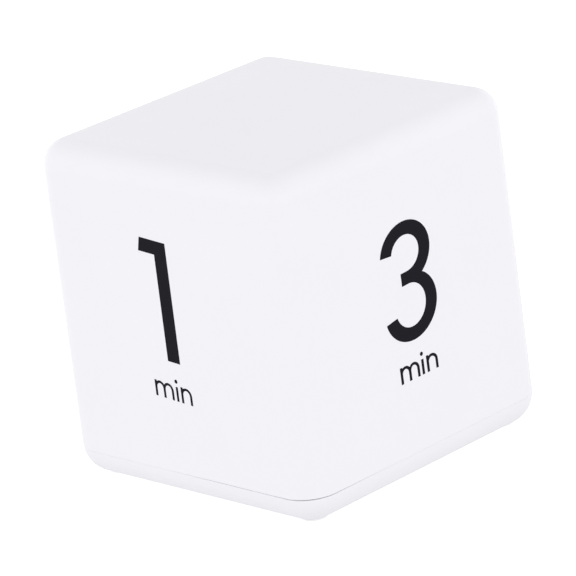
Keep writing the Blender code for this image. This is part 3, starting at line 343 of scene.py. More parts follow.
def cut_base(cover):
    """Cut the bay, the door's opening, the wells, the lens seat, the switch slot and the sound holes."""
    hollow = block_piece("bay_hollow", ((*BAY_LOW, FLOOR), (*BAY_HIGH, BAY_ROOF), 0.0, 0.4))
    rib_y = sum(CELL_Y.values()) / 2
    rib = centred((0, rib_y), RIB_HALF_LENGTH, RIB_HALF_WIDTH, RIB_FOOT, BAY_ROOF + 1, 0.2)
    combine(hollow, "DIFFERENCE", [rib])
    combine(cover, "DIFFERENCE", tools=taken(hollow))
    edge = DOOR_HALF + DOOR_GAP
    combine(cover, "DIFFERENCE", [((-edge, BAY_LOW[1], -1), (edge, BAY_HIGH[1], FLOOR + 1))])
    door = ((-edge, DOOR_LOW.y - DOOR_GAP, -1), (edge, DOOR_HIGH.y + DOOR_GAP, DOOR_SEAT), 0.0, 0.6)
    lens = around(LENS_LOW, LENS_HIGH, LENS_GAP, LENS_GAP, -1, LENS_SEAT, 0.0, 0.5)
    pocket = centred(SWITCH_AT, *SWITCH_POCKET, -1, SWITCH_POCKET_DEPTH, 0.25, 1.2)
    wells = [(at, -1, CASE_SCREW_SEAT, WELL_RADIUS) for at in CASE_SCREWS]
    combine(cover, "DIFFERENCE", [door, lens, pocket], wells)
    through = [around(LENS_LOW, LENS_HIGH, -1, -1, 0, FRAME_TOP + 1, 0.0, 0.6),
               centred(SWITCH_AT, *SWITCH_SLOT, -1, FLOOR + 1, 0.0, 0.3)]
    through += [((TAIL_SLOT_START, y - TAIL_SLOT_HALF, BAY_ROOF - 1),
                 (TAIL_SLOT_END, y + TAIL_SLOT_HALF, BAY_ROOF + 3)) for y in CELL_Y.values()]
    bores = [(at, CASE_SCREW_SEAT - 1, 8, CASE_SCREW_BORE) for at in CASE_SCREWS]
    bores += [(at, BOARD_BORE_START, 9, BOARD_SCREW_BORE) for at in BOARD_SCREWS]
    combine(cover, "DIFFERENCE", through, bores + [(BUZZER_AT, BUZZER_SEAT, 6, BUZZER_ROOM)])
    wide = WELL_RADIUS + 2 * EDGE_BREAK
    hole = SOUND_HOLE_RADIUS
    chamber = [(BUZZER_AT, FLOOR, 3.5, AIR_CHAMBER)]
    chamber += [(at, -EDGE_BREAK, EDGE_BREAK, wide, WELL_RADIUS) for at in CASE_SCREWS]
    chamber += [(at, -1, FLOOR - 0.5, hole, hole, HOLE_SIDES) for at in SOUND_HOLES]
    combine(cover, "DIFFERENCE", posts=chamber)
    breaks = bmesh.new()
    for low, high, *rounding in (door, lens, pocket):
        add_flare(breaks, low, high, EDGE_BREAK)
    wide, close = hole + 2 * EDGE_BREAK, hole * 0.995
    holes = [(at, -EDGE_BREAK, EDGE_BREAK, wide, hole, HOLE_SIDES) for at in SOUND_HOLES]
    holes += [(at, FLOOR - 1, FLOOR + 0.5, close, close, HOLE_SIDES) for at in SOUND_HOLES]
    combine(cover, "DIFFERENCE", posts=holes, tools=breaks)
    scoop = bmesh.new()
    place = Matrix.Translation((edge - 0.2, CATCH_Y, 0)) @ Matrix.Diagonal((*SCOOP, 1))
    bmesh.ops.create_uvsphere(scoop, u_segments=40, v_segments=20, radius=1.0, matrix=place)
    return combine(cover, "DIFFERENCE", tools=scoop)


# White ABS from a finely spark-eroded mould: an even satin face with soft highlights. The tone
# hardly varies; the grain, under a tenth of a millimetre, is drawn coarser so that it shows, and
# the mirror light that it scatters away is taken off the specular level.
WHITE_ABS = new_material("white_moulded_abs", ("#F2F1F6", "#F0EFF4"), 0.36, 14, (0.5, 0.5, 0.5), 0.002,
                         ior=1.53, specular=0.3)
dress(cut_base(base_moulding()), WHITE_ABS, "white_abs", "base_cover")

# Battery contacts and springs
# Stamped and formed spring steel, nickel plated: a bridge plate joins the cells at one end of the
# bay, two plates with solder tails stand at the other, and a tapered coil spring wound from round
# wire pushes on each cell's flat end. They are pressed into slots of the bay.


def eased(points, radius, steps=4):
    """The same line with each corner eased by a small curve."""
    line = [Vector(point) for point in points]
    out = [line[0]]
    for before, corner, after in zip(line, line[1:], line[2:]):
        start = corner + (before - corner).normalized() * min(radius, (before - corner).length / 2)
        end = corner + (after - corner).normalized() * min(radius, (after - corner).length / 2)
        for i in range(steps + 1):
            t = i / steps
            out.append(start * (1 - t) ** 2 + corner * 2 * t * (1 - t) + end * t ** 2)
    return out + [line[-1]]


def add_turned(bm, profile, place=Matrix.Identity(4), sides=40):
    """A round solid: a line of (radius, height) points spun about an upright axis, then placed."""
    before = set(bm.verts)
    chain = [bm.verts.new((radius, 0, height)) for radius, height in profile]
    line = [bm.edges.new(pair) for pair in zip(chain, chain[1:])]
    bmesh.ops.spin(bm, geom=chain + line, cent=(0, 0, 0), axis=(0, 0, 1), angle=math.tau, steps=sides,
                   use_merge=True)
    bmesh.ops.remove_doubles(bm, verts=[vert for vert in bm.verts if vert not in before], dist=MERGE_REACH)
    made = [vert for vert in bm.verts if vert not in before]
    bmesh.ops.recalc_face_normals(bm, faces=list({face for vert in made for face in vert.link_faces}))
    bmesh.ops.transform(bm, matrix=place, verts=made)
    return bm


def turned_piece(name, profile, place=Matrix.Identity(4), sides=40):
    """A piece that is one round solid."""
    return new_object(name, add_turned(bmesh.new(), profile, place, sides))


def drawn(name, curve):
    """A curve or a text made into a mesh object."""
    holder = bpy.data.objects.new(name, curve)
    bpy.context.scene.collection.objects.link(holder)
    bpy.context.view_layer.update()
    graph = bpy.context.evaluated_depsgraph_get()
    bm = bmesh.new()
    bm.from_mesh(bpy.data.meshes.new_from_object(holder.evaluated_get(graph)))
    bpy.data.objects.remove(holder)
    bmesh.ops.remove_doubles(bm, verts=bm.verts, dist=2 * MERGE_REACH)
    return new_object(name, bm)


def add_line(curve, points):
    """A straight-run spline through points, on a flat curve or a solid one."""
    spline = curve.splines.new("POLY")
    spline.points.add(len(points) - 1)
    for point, place in zip(spline.points, points):
        point.co = (*Vector(place).to_3d(), 1.0)
    return spline


def tubes(name, lines, radius, rings=3):
    """Round wires along lines of points, with closed ends."""
    curve = bpy.data.curves.new(name, "CURVE")
    curve.dimensions = "3D"
    curve.bevel_depth = radius
    curve.bevel_resolution = rings
    curve.use_fill_caps = True
    for line in lines:
        add_line(curve, line)
    return drawn(name, curve)


def along_x(x, y, z, sign):
    """Place of a turned shape whose axis runs along +X or -X."""
    return Matrix.Translation((x, y, z)) @ Matrix.Rotation(sign * math.pi / 2, 4, "Y")


# Bright nickel over rolled steel: a clean grey mirror, broken by fine rolling lines along the strip.
NICKEL = new_material("bright_nickel_plate", ("#D2CEC6", "#C0BCB4"), 0.22, 2.5, (0.6, 3.0, 0.08), 0.002,
                      metallic=1.0)
CONTACT_THICKNESS, PLATE_TOP = 0.3, 11.2
DIMPLE = [(0, -0.1), (1.8, -0.1), (1.35, 0.3), (0.9, 0.5), (0, 0.5)]


def contact_plate(name, dimples, tail):
    """A plate with rounded corners, a pressed dimple for a cell's nub, and perhaps a solder tail."""
    low, high = span(name)
    sign = 1 if low.x < 0 else -1
    back = low.x if sign > 0 else high.x - CONTACT_THICKNESS
    front = back + CONTACT_THICKNESS
    top = PLATE_TOP if tail else high.z
    plate = block_piece(name + "_plate", ((back, low.y, low.z), (front, high.y, top), 0.06, 0.8, 0))
    for y in dimples:
        place = along_x(front if sign > 0 else back, y, CELL_Z, sign)
        combine(plate, "UNION", tools=add_turned(bmesh.new(), eased(DIMPLE, 0.12), place, 48))
    if tail:
        y = (low.y + high.y) / 2
        combine(plate, "UNION", [((back, y - 0.8, 10.6), (front, y + 0.8, high.z), 0.06, 0.5, 0)])
    return plate


for node, dimples, tail in (("bridge_contact", [CELL_Y["battery_cell_2"]], False),
                            ("positive_contact", [CELL_Y["battery_cell_1"]], True),
                            ("negative_contact", [], True)):
    dress(contact_plate(node, dimples, tail), NICKEL, "nickel_plated_steel", node)

COIL_FOOT, COIL_TIP, COIL_WIDE, COIL_NARROW, COIL_TURNS, SPRING_WIRE = 24.9, 20.4, 3.6, 2.6, 4, 0.25


def coil_line(y, sign, steps=36):
    """The wire's middle line: a flat start on the plate, a tapered coil, and half a flat turn."""
    points = []
    for i in range(COIL_TURNS * steps + 1):
        share = min(1.0, max(0.0, (i / steps - 0.25) / (COIL_TURNS - 0.75)))
        radius = COIL_WIDE + (COIL_NARROW - COIL_WIDE) * share
        angle = i / steps * math.tau
        points.append((sign * (COIL_FOOT + (COIL_TIP - COIL_FOOT) * share), y + radius * math.cos(angle),
                       CELL_Z + radius * math.sin(angle)))
    return points


for i, (cell, sign) in enumerate(CELLS, 1):
    wound = tubes(f"battery_spring_{i}_coil", [coil_line(CELL_Y[cell], -sign)], SPRING_WIRE, 4)
    dress(wound, NICKEL, "nickel_plated_steel", f"battery_spring_{i}", smooth=60)

# Display
# A clear acrylic window in the base, polished on both faces, and behind it the liquid crystal
# glass: a grey-green polariser with dark segments on two thin sheets of glass. A white holder
# keeps the glass on the board, and a strip of striped silicone rubber joins the two electrically.


def under_frame(x, y, z):
    """Place of a flat shape on the underside, read from below with the display under the door."""
    along, up, out = Vector((1, 0, 0)), Vector((0, -1, 0)), Vector((0, 0, -1))
    place = Matrix((along, up, out)).transposed().to_4x4()
    place.translation = (x, y, z)
    return place


def arc(centre, radii, start, end, steps=40):
    """Points on an ellipse between two angles in degrees."""
    angles = [math.radians(start + (end - start) * i / steps) for i in range(steps + 1)]
    return [(centre[0] + radii[0] * math.cos(a), centre[1] + radii[1] * math.sin(a)) for a in angles]


def disc(centre, radius, steps):
    """The outline of a round hole or dot, in steps of equal length."""
    return arc(centre, (radius, radius), 0, 360 - 360 / steps, steps - 1)


def flat_shape(name, outlines, thickness, slope=0.0):
    """A flat sheet with these outlines, and holes where one lies inside another."""
    curve = bpy.data.curves.new(name, "CURVE")
    curve.dimensions = "2D"
    curve.fill_mode = "BOTH"
    curve.extrude = thickness / 2
    for outline in outlines:
        add_line(curve, [(x, y + slope * x) for x, y in outline]).use_cyclic_u = True
    return drawn(name, curve)


def seven_segments(left, foot, width, height, stroke):
    """The seven bars of one digit, with pointed ends and fine gaps."""
    half = stroke / 2
    bars = []
    for x0, y0, x1, y1 in ((0, 0, 1, 0), (0, 1, 1, 1), (0, 2, 1, 2), (0, 0, 0, 1), (0, 1, 0, 2),
                           (1, 0, 1, 1), (1, 1, 1, 2)):
        start = Vector((left + x0 * width, foot + y0 * height / 2))
        end = Vector((left + x1 * width, foot + y1 * height / 2))
        run = (end - start).normalized()
        side = Vector((-run.y, run.x)) * half
        start, end = start + run * 0.12, end - run * 0.12
        bars.append([tuple(p) for p in (start, start + run * half + side, end - run * half + side, end,
                                        end - run * half - side, start + run * half - side)])
    return bars


# Cast acrylic, flame-polished: quite clear, with a faint cool tint at its edges.
ACRYLIC = new_material("clear_polished_acrylic", ("#F7FAFA", "#F3F8F8"), 0.05, 9, (4, 4, 4), 0.001,
                       ior=1.49, clear=1.0)
# Polariser film on glass: a flat grey-green with a mirror-smooth gloss over it.
POLARISER = new_material("grey_green_polariser", ("#98A48F", "#909C88"), 0.14, 8, (5, 5, 5), 0.001,
                         coat=0.6)
# Float glass, cut and ground at its edges: clear, with a green cast.
GLASS = new_material("soda_lime_glass", ("#DDE8DF", "#D6E4DA"), 0.05, 9, (4, 4, 4), 0.001, ior=1.52,
                     clear=0.9)
# Unlit segments of the liquid crystal: a slightly darker green-grey, without gloss of their own.
SEGMENT = new_material("liquid_crystal_segments", ("#6E7869", "#697364"), 0.3, 5, (3, 3, 3), 0.001)
# Black and pale layers of silicone rubber by turns. The real ones are 0.05 mm thick; drawn at 0.4 mm.
RUBBER = new_material("striped_silicone_rubber", ("#8E939B", "#858A92"), 0.6, 3, (0.3, 0.3, 0.3), 0.004)


def stripe_rubber(material, pitch):
    """Lay black and pale stripes across the strip, a pitch in millimetres from one to the next."""
    tree = material.node_tree
    place = add_node(tree, "TexCoord").outputs["Object"]
    wave = add_node(tree, "TexWave", {"Vector": place, "Scale": 1 / (pitch * MM) / 20 * math.tau})
    steps = add_node(tree, "ValToRGB", {"Fac": wave.outputs["Fac"]})
    steps.color_ramp.interpolation = "CONSTANT"
    steps.color_ramp.elements[0].color = linear("#1B1C1E")
    steps.color_ramp.elements[1].position = 0.5
    steps.color_ramp.elements[1].color = linear("#9AA0A8")
    tree.links.new(steps.outputs["Color"], tree.nodes["Principled BSDF"].inputs["Base Color"])


stripe_rubber(RUBBER, 0.4)
dress(block_piece("display_window", (LENS_LOW, LENS_HIGH, 0.14, 0.45)), ACRYLIC, "clear_lens", "lcd_window")

GLASS_LOW, GLASS_HIGH = span("lcd_glass")
GLASS_MIDDLE = (GLASS_LOW.z + GLASS_HIGH.z) / 2
FILM, FILM_INSET, LEDGE = 0.2, 0.4, 2.0
films = block_piece("polariser_films",
                    ((GLASS_LOW.x + FILM_INSET, GLASS_LOW.y + 0.3, GLASS_LOW.z),
                     (GLASS_HIGH.x - FILM_INSET, GLASS_HIGH.y - 0.5, GLASS_LOW.z + FILM), 0.04),
                    ((GLASS_LOW.x + FILM_INSET, GLASS_LOW.y + 0.3, GLASS_HIGH.z - FILM),
                     (GLASS_HIGH.x - FILM_INSET, GLASS_HIGH.y - LEDGE - 0.4, GLASS_HIGH.z), 0.04))
dress(films, POLARISER, "display_glass", "lcd_glass")
sheets = block_piece("glass_sheets",
                     ((*GLASS_LOW.xy, GLASS_LOW.z + FILM), (*GLASS_HIGH.xy, GLASS_MIDDLE), 0.05),
                     ((*GLASS_LOW.xy, GLASS_MIDDLE),
                      (GLASS_HIGH.x, GLASS_HIGH.y - LEDGE, GLASS_HIGH.z - FILM), 0.05))
dress(sheets, GLASS, "display_glass", "lcd_glass")

DIGIT_WIDTH, DIGIT_HEIGHT, DIGIT_STROKE, DIGIT_LEAN = 2.9, 6.0, 0.62, 0.09
bars = []
for left in (-9.4, -5.2, 2.3, 6.5):
    bars += seven_segments(left, -DIGIT_HEIGHT / 2, DIGIT_WIDTH, DIGIT_HEIGHT, DIGIT_STROKE)
bars += [arc((0.0, y), (0.42, 0.42), 0, 345, 23) for y in (-1.4, 1.4)]
bars = [[(x + DIGIT_LEAN * y, y) for x, y in bar] for bar in bars]
segments = flat_shape("display_segments", bars, 0.02)
segments.data.transform(under_frame(*((LENS_LOW + LENS_HIGH) / 2).xy, GLASS_LOW.z - 0.01))
dress(segments, SEGMENT, "display_glass")

HOLDER_LOW, HOLDER_HIGH = span("lcd_holder")
holder = block_piece("display_holder", (HOLDER_LOW, HOLDER_HIGH, 0.15, 0.8))
openings = [(HOLDER_LOW + Vector((0.9, 0.9, -1)), HOLDER_HIGH + Vector((-0.9, -0.9, 1)), 0.0, 0.3)]
openings += [((x - 1.2, HOLDER_LOW.y - 1, 6.4), (x + 1.2, HOLDER_LOW.y + 2, 9), 0.2)
             for x in (-17.0, -8.5, 0.0)]
combine(holder, "DIFFERENCE", openings, crossing=True)
dress(holder, WHITE_ABS, "white_abs", "lcd_holder")
dress(block_piece("contact_strip", (*span("zebra_strip"), 0.12)), RUBBER, "silicone_rubber", "zebra_strip")

# Buzzer
# A piezo sounder glued on a ring of the base over seven sound holes: a disc of rolled brass with a
# smaller disc of fired ceramic on it, whose face is silvered where its red lead is soldered.

# Rolled brass sheet: warm yellow metal with a slight tarnish in patches and fine rolling lines.
BRASS = new_material("rolled_brass", ("#D3AE5C", "#BE9748"), 0.28, 3, (3.0, 0.15, 0.15), 0.002,
                     metallic=1.0)
# Screened silver on fired ceramic: pale warm grey, matt, with a fine grain.
SILVERED = new_material("silvered_ceramic", ("#D8D4CB", "#CBC6BB"), 0.5, 2, (0.25, 0.25, 0.25), 0.01)


def round_span(node_name):
    """Radius, and lowest and highest point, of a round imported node."""
    low, high = span(node_name)
    return (high.x - low.x) / 2, low.z, high.z


def rod(radius, bottom, top):
    """The profile of a plain disc or pin."""
    return [(0, bottom), (radius, bottom), (radius, top), (0, top)]


OVER_HOLES = Matrix.Translation((*BUZZER_AT, 0))
brass_disc = turned_piece("sounder_disc", eased(rod(*round_span("buzzer_disc")), 0.06), OVER_HOLES, 72)
dress(brass_disc, BRASS, "brass", "buzzer_disc")
radius, bottom, top = round_span("buzzer_ceramic")
profile = [(0, bottom), (radius, bottom), (radius, top - 0.05), (radius - 0.35, top - 0.05),
           (radius - 0.4, top), (0, top)]
tile = turned_piece("sounder_ceramic", eased(profile, 0.04), OVER_HOLES, 72)
dress(tile, SILVERED, "ceramic", "buzzer_ceramic")

# Slide switch
# A folded steel frame soldered under the board, with a black moulded knob whose ribbed thumb stands
# in a slot of the base. OFF and ON are pad-printed beside the slot.

# Black glass-filled nylon: dark grey rather than black, dull, with a slight grain.
BLACK_NYLON = new_material("black_moulded_nylon", ("#232326", "#1C1C1F"), 0.48, 4, (0.25, 0.25, 0.25),
                           0.006)
FRAME_LOW, FRAME_HIGH = span("switch_frame")
FRAME_SHEET = Vector((0.6, 0.6, 0.6))
steel_frame = block_piece("switch_steel_frame", (FRAME_LOW, FRAME_HIGH, 0.25))
combine(steel_frame, "DIFFERENCE", [(FRAME_LOW + FRAME_SHEET, FRAME_HIGH - FRAME_SHEET, 0.1)])
slots = [centred(SWITCH_AT, 3.7, 0.8, FRAME_LOW.z - 1, FRAME_LOW.z + 1.2, 0.0, 0.3)]
slots += [((x - 0.15, FRAME_LOW.y - 1, FRAME_LOW.z + 1.0), (x + 0.15, FRAME_HIGH.y + 1, FRAME_HIGH.z - 1))
          for x in (-4.6, 4.6)]
combine(steel_frame, "DIFFERENCE", slots)
dress(steel_frame, NICKEL, "nickel_plated_steel", "switch_frame")

KNOB_LOW, KNOB_HIGH = span("switch_knob")
KNOB_AT = ((KNOB_LOW + KNOB_HIGH) / 2).xy
knob = block_piece("switch_thumb", centred(KNOB_AT, 2.0, 1.6, KNOB_LOW.z, 3.2, 0.22, 0.4))
for block in (centred(KNOB_AT, 1.2, 0.5, 2.9, 5.6), centred(KNOB_AT, 2.4, 1.4, 5.3, KNOB_HIGH.z, 0.15)):
    combine(knob, "UNION", [block])
grooves = bmesh.new()
on_edge = Matrix.Rotation(math.pi / 4, 4, "Y") @ Matrix.Diagonal((0.3, 4.0, 0.3, 1))
for x in (-1.3, -0.65, 0.0, 0.65, 1.3):
    groove = Matrix.Translation((KNOB_AT.x + x, KNOB_AT.y, KNOB_LOW.z)) @ on_edge
    bmesh.ops.create_cube(grooves, size=1.0, matrix=groove)
combine(knob, "DIFFERENCE", tools=grooves)
dress(knob, BLACK_NYLON, "black_plastic", "switch_knob", body="switch")

# Pad-print ink, cured semi-matt: near black with a cool cast, and hardly any mirror of the studio.
INK = new_material("black_pad_print", ("#1C1B21", "#201F25"), 0.6, 1.5, (0.3, 0.3, 0.3), 0.001,
                   specular=0.03)
INK_THICKNESS, MARK_SIZE = 0.03, 2.5
for word, x in (("OFF", -10.2), ("ON", 9.6)):
    text = bpy.data.curves.new(word, "FONT")
    text.body = word
    text.size = MARK_SIZE
    text.align_x = "CENTER"
    text.align_y = "CENTER"
    text.extrude = INK_THICKNESS / 2
    mark = drawn("mark_" + word.lower(), text)
    mark.data.transform(under_frame(x, SWITCH_AT.y, 0))
    dress(mark, INK, "black_print")

# Main board
# A single-sided board of glass fibre laminate under green solder resist, screwed on three posts.
# Copper tracks lie under the resist, and each part's legs stand in small tinned joints.
BOARD_LOW, BOARD_HIGH = span("main_board")
BOARD_NOTCH = 21.8
PIN_PLACES = [middle(f"tilt_pin_{i}").xy for i in (1, 2, 3, 4)]
CRYSTAL_LOW, CRYSTAL_HIGH = span("crystal")
CRYSTAL_AT = ((CRYSTAL_LOW + CRYSTAL_HIGH) / 2).yz

# Green solder resist over laminate: glossy, a little uneven where it runs over the glass weave.
RESIST = new_material("green_solder_resist", ("#1F6B3F", "#1A6138"), 0.26, 5, (0.5, 0.5, 0.5), 0.006)
# Copper seen through the resist: the same green, only lighter.
COVERED_COPPER = new_material("resist_over_copper", ("#3D8A52", "#37824C"), 0.26, 5, (0.5, 0.5, 0.5), 0.006)
# Lead-free solder: bright tin that has set in smooth cones, slightly frosted.
SOLDER = new_material("bright_solder", ("#D4D5D8", "#C6C7CB"), 0.25, 0.8, (0.2, 0.2, 0.2), 0.01,
                      metallic=1.0)
edge = BOARD_HIGH.x
outline = [(-edge, BOARD_LOW.y), (edge, BOARD_LOW.y), (edge, BOARD_NOTCH), (BOARD_NOTCH, BOARD_NOTCH),
           (BOARD_NOTCH, BOARD_HIGH.y), (-BOARD_NOTCH, BOARD_HIGH.y), (-BOARD_NOTCH, BOARD_NOTCH),
           (-edge, BOARD_NOTCH)]
holes = [disc(at, 1.05, 30) for at in BOARD_SCREWS] + [disc(at, 0.6, 18) for at in PIN_PLACES]
laminate = flat_shape("board_laminate", [outline] + holes, BOARD_HIGH.z - BOARD_LOW.z)
laminate.data.transform(Matrix.Translation((0, 0, (BOARD_LOW.z + BOARD_HIGH.z) / 2)))
dress(laminate, RESIST, "circuit_board", "main_board")

TRACKS = (
    ((-8.6, 10.2), (-12.0, 10.2), (-12.6, 9.6), (-14.6, 9.6)),
    ((-8.6, 13.8), (-12.0, 13.8), (-12.6, 14.4), (-14.6, 14.4)),
    ((-6.8, 8.0), (-9.4, 5.4), (-17.4, 5.4), (-19.4, 7.4), (-19.4, 9.6)),
    ((-6.8, 16.0), (-9.2, 18.4), (-17.4, 18.4), (-19.4, 16.4), (-19.4, 14.4)),
    ((1.0, 15.6), (4.2, 18.8), (4.2, 20.5)), ((-0.2, 16.6), (3.2, 20.0), (3.2, 21.0), (4.2, 21.5)),
    ((2.6, 12.8), (8.0, 12.8), (9.8, 14.5)), ((14.2, 14.5), (16.4, 14.5), (18.0, 14.0)),
    ((2.2, 10.0), (13.0, 10.0), (16.2, 6.8)), ((18.8, 6.6), (22.9, 7.0)),
    ((20.0, 14.0), (25.2, 8.8), (25.2, 7.0)), ((-4.4, 17.2), (-4.4, 20.0), (-3.0, 21.8)),
    ((-2.4, 17.4), (-2.4, 19.4), (0.0, 21.8)), ((18.6, 6.0), (20.6, 4.6), (23.6, 4.6)))
TRACK_WIDTH, TRACK_THICKNESS = 0.5, 0.05


def track_outline(points, width):
    """The outline of a track: its line moved half a width to both sides."""
    line = [Vector(point) for point in points]
    sides = ([], [])
    for i, point in enumerate(line):
        before = (point - line[max(i - 1, 0)]).normalized()
        after = (line[min(i + 1, len(line) - 1)] - point).normalized()
        run = (before + after).normalized()
        across = Vector((-run.y, run.x)) * width / 2
        sides[0].append(tuple(point + across))
        sides[1].append(tuple(point - across))
    return sides[0] + sides[1][::-1]


tracks = bmesh.new()
for points in TRACKS:
    one_track = flat_shape("track", [track_outline(points, TRACK_WIDTH)], TRACK_THICKNESS)
    tracks.from_mesh(one_track.data)
    bpy.data.objects.remove(one_track)
bmesh.ops.translate(tracks, vec=(0, 0, BOARD_HIGH.z + 0.02), verts=tracks.verts)
dress(new_object("board_tracks", tracks), COVERED_COPPER, "circuit_board")

# Joints above end the leads and tracks; those below hold pins and legs. The display's holder
# stands where some of the lower ones would be, and those are left out.
LEG_SPREADS = (("capacitor", (-1.0, 1.0)), ("boost_coil", (-2.0, 2.0)),
               ("transistor", (-1.27, 0.0, 1.27)))
leg_places = [(middle(node).x + x, middle(node).y) for node, spread in LEG_SPREADS for x in spread]
joints_above = [(22.9, 7.0), (25.2, 7.0), (22.4, 17.4), (18.6, 5.8), (-3.0, 21.8), (0.0, 21.8),
                (3.0, 21.8)]
joints_below = PIN_PLACES + [(4.2, CRYSTAL_AT.x + y) for y in (-0.4, 0.4)] + leg_places
joints_below = [at for at in joints_below if at[0] >= LENS_HIGH.x + 3 or at[1] >= HOLDER_HIGH.y]
CONE = eased([(0, 0), (0.8, 0), (0.42, 0.18), (0.34, 0.55), (0, 0.62)], 0.15)
joints = bmesh.new()
for at in joints_above:
    add_turned(joints, CONE, Matrix.Translation((*at, BOARD_HIGH.z)), 20)
for at in joints_below:
    add_turned(joints, CONE, Matrix.Translation((*at, BOARD_LOW.z)) @ Matrix.Rotation(math.pi, 4, "X"), 20)
dress(new_object("solder_joints", joints), SOLDER, "nickel_plated_steel")

# Parts on the board
# The control chip under a drop of black epoxy, a quartz crystal in a small steel can, an
# electrolytic capacitor in a blue sleeve, the buzzer's coil on a ferrite drum and a transistor.

# Black epoxy, dropped on and cured: a glossy, slightly uneven bead.
EPOXY = new_material("black_epoxy", ("#17171A", "#121214"), 0.2, 2, (0.8, 0.8, 0.8), 0.02)
# Ferrite, pressed and fired: dark grey, dull and slightly granular.
FERRITE = new_material("fired_ferrite", ("#34353A", "#2B2C30"), 0.5, 1.5, (0.2, 0.2, 0.2), 0.01)
# Enamelled copper wire: orange-brown metal under a clear varnish.
COPPER = new_material("enamelled_copper_wire", ("#B5683A", "#A25A30"), 0.25, 1, (0.4, 0.4, 0.2), 0.004,
                      metallic=1.0)
# Heat-shrunk sleeve: smooth blue film, tight over the can and puckered at its ends.
SLEEVE = new_material("blue_shrink_sleeve", ("#20489A", "#1B3F8B"), 0.28, 3, (0.6, 0.6, 2.0), 0.006)
# Aluminium, deep drawn: pale grey metal with faint marks along the draw.
ALUMINIUM = new_material("drawn_aluminium", ("#D9DADC", "#CDCED1"), 0.32, 2, (0.15, 0.15, 1.0), 0.004,
                         metallic=1.0)


def on_board(node_name):
    """Place of a part that stands on the board, by the middle of its foot, and its size."""
    low, high = span(node_name)
    return Matrix.Translation(((low.x + high.x) / 2, (low.y + high.y) / 2, low.z)), high - low


place, size = on_board("chip_blob")
drop = add_turned(bmesh.new(), [(0, -0.1)] + arc((0, 0), (size.x / 2, size.z), 0, 90, 14), sides=64)
for vert in drop.verts:
    turn = math.atan2(vert.co.y, vert.co.x)
    vert.co.xy *= 0.96 + 0.025 * math.sin(3 * turn + 0.6) + 0.015 * math.sin(5 * turn)
bmesh.ops.transform(drop, matrix=place, verts=drop.verts)
dress(new_object("chip_epoxy_drop", drop), EPOXY, "black_epoxy", "chip_blob")

radius = (CRYSTAL_HIGH.z - CRYSTAL_LOW.z) / 2
length = CRYSTAL_HIGH.x - CRYSTAL_LOW.x
profile = [(0, 0.1), (radius * 0.8, 0.1), (radius * 0.8, 0), (radius, 0), (radius, length), (0, length)]
can = turned_piece("crystal_can", eased(profile, 0.25), along_x(CRYSTAL_LOW.x, *CRYSTAL_AT, 1), 32)
dress(can, NICKEL, "nickel_plated_steel", "crystal", smooth=50)

place, size = on_board("capacitor")
radius = size.x / 2
profile = [(0, 0), (radius - 0.3, 0), (radius, 0.3), (radius, 1.0), (radius - 0.18, 1.25), (radius, 1.5),
           (radius, size.z - 0.25), (radius - 0.5, size.z - 0.04), (radius - 0.5, size.z - 0.3),
           (0, size.z - 0.3)]
dress(turned_piece("capacitor_sleeve", eased(profile, 0.12), place), SLEEVE, "blue_sleeve", "capacitor")
lid_top = size.z - 0.12
lid = turned_piece("capacitor_lid", eased(rod(radius - 0.55, size.z - 0.5, lid_top), 0.08), place)
vent = bmesh.new()
for turn in (0, math.pi / 2):
    across = Matrix.Translation((0, 0, lid_top)) @ Matrix.Rotation(turn, 4, "Z")
    bmesh.ops.create_cube(vent, size=1.0, matrix=place @ across @ Matrix.Diagonal((2.4, 0.15, 0.16, 1)))
combine(lid, "DIFFERENCE", tools=vent, crossing=True)
dress(lid, ALUMINIUM, "nickel_plated_steel", "capacitor")

place, size = on_board("boost_coil")
radius, flange, waist = size.x / 2, 0.8, 1.6
profile = [(0, 0), (radius, 0), (radius, flange), (waist, flange), (waist, size.z - flange),
           (radius, size.z - flange), (radius, size.z), (0, size.z)]
dress(turned_piece("coil_drum", eased(profile, 0.15), place), FERRITE, "black_epoxy", "boost_coil")
WIRE_PITCH, WIRE_RADIUS, WINDING_RADIUS = 0.26, 0.13, 2.37
turns = int((size.z - 2 * flange) / WIRE_PITCH)
winding = [place.translation + Vector((WINDING_RADIUS * math.cos(a), WINDING_RADIUS * math.sin(a),
                                       flange + WIRE_RADIUS + a / math.tau * WIRE_PITCH))
           for a in [i / 24 * math.tau for i in range(24 * turns)]]
dress(tubes("coil_winding", [winding], WIRE_RADIUS, 2), COPPER, "black_epoxy", "boost_coil", smooth=60)


def round_edges(piece, width, from_angle):
    """Round the piece's edges that turn by more than an angle in degrees."""
    rounding = piece.modifiers.new("edges", "BEVEL")
    rounding.width = width
    rounding.segments = 3
    rounding.limit_method = "ANGLE"
    rounding.angle_limit = math.radians(from_angle)
    return settle(piece)


place, size = on_board("transistor")
outline = arc((0, 0), (size.x / 2, size.y / 2 + 0.1), -28, 208, 28)
body = flat_shape("transistor_body", [outline], size.z - 0.2)
body.data.transform(place @ Matrix.Translation((0, 0, size.z / 2)))
dress(round_edges(body, 0.18, 60), EPOXY, "black_epoxy", "transistor")

# Legs: tinned copper wire between the parts and their joints.
LEG_FOOT = BOARD_LOW.z - 0.5
legs = []
for y in (CRYSTAL_AT.x - 0.4, CRYSTAL_AT.x + 0.4):
    z = CRYSTAL_AT.y
    legs.append([(CRYSTAL_LOW.x + 0.2, y, z), (4.5, y, z), (4.2, y, z - 0.3), (4.2, y, LEG_FOOT)])
legs += [[(x, y, BOARD_HIGH.z + 0.4), (x, y, LEG_FOOT)] for x, y in leg_places]
dress(tubes("part_legs", legs, 0.22, 2), SOLDER, "nickel_plated_steel", smooth=60)

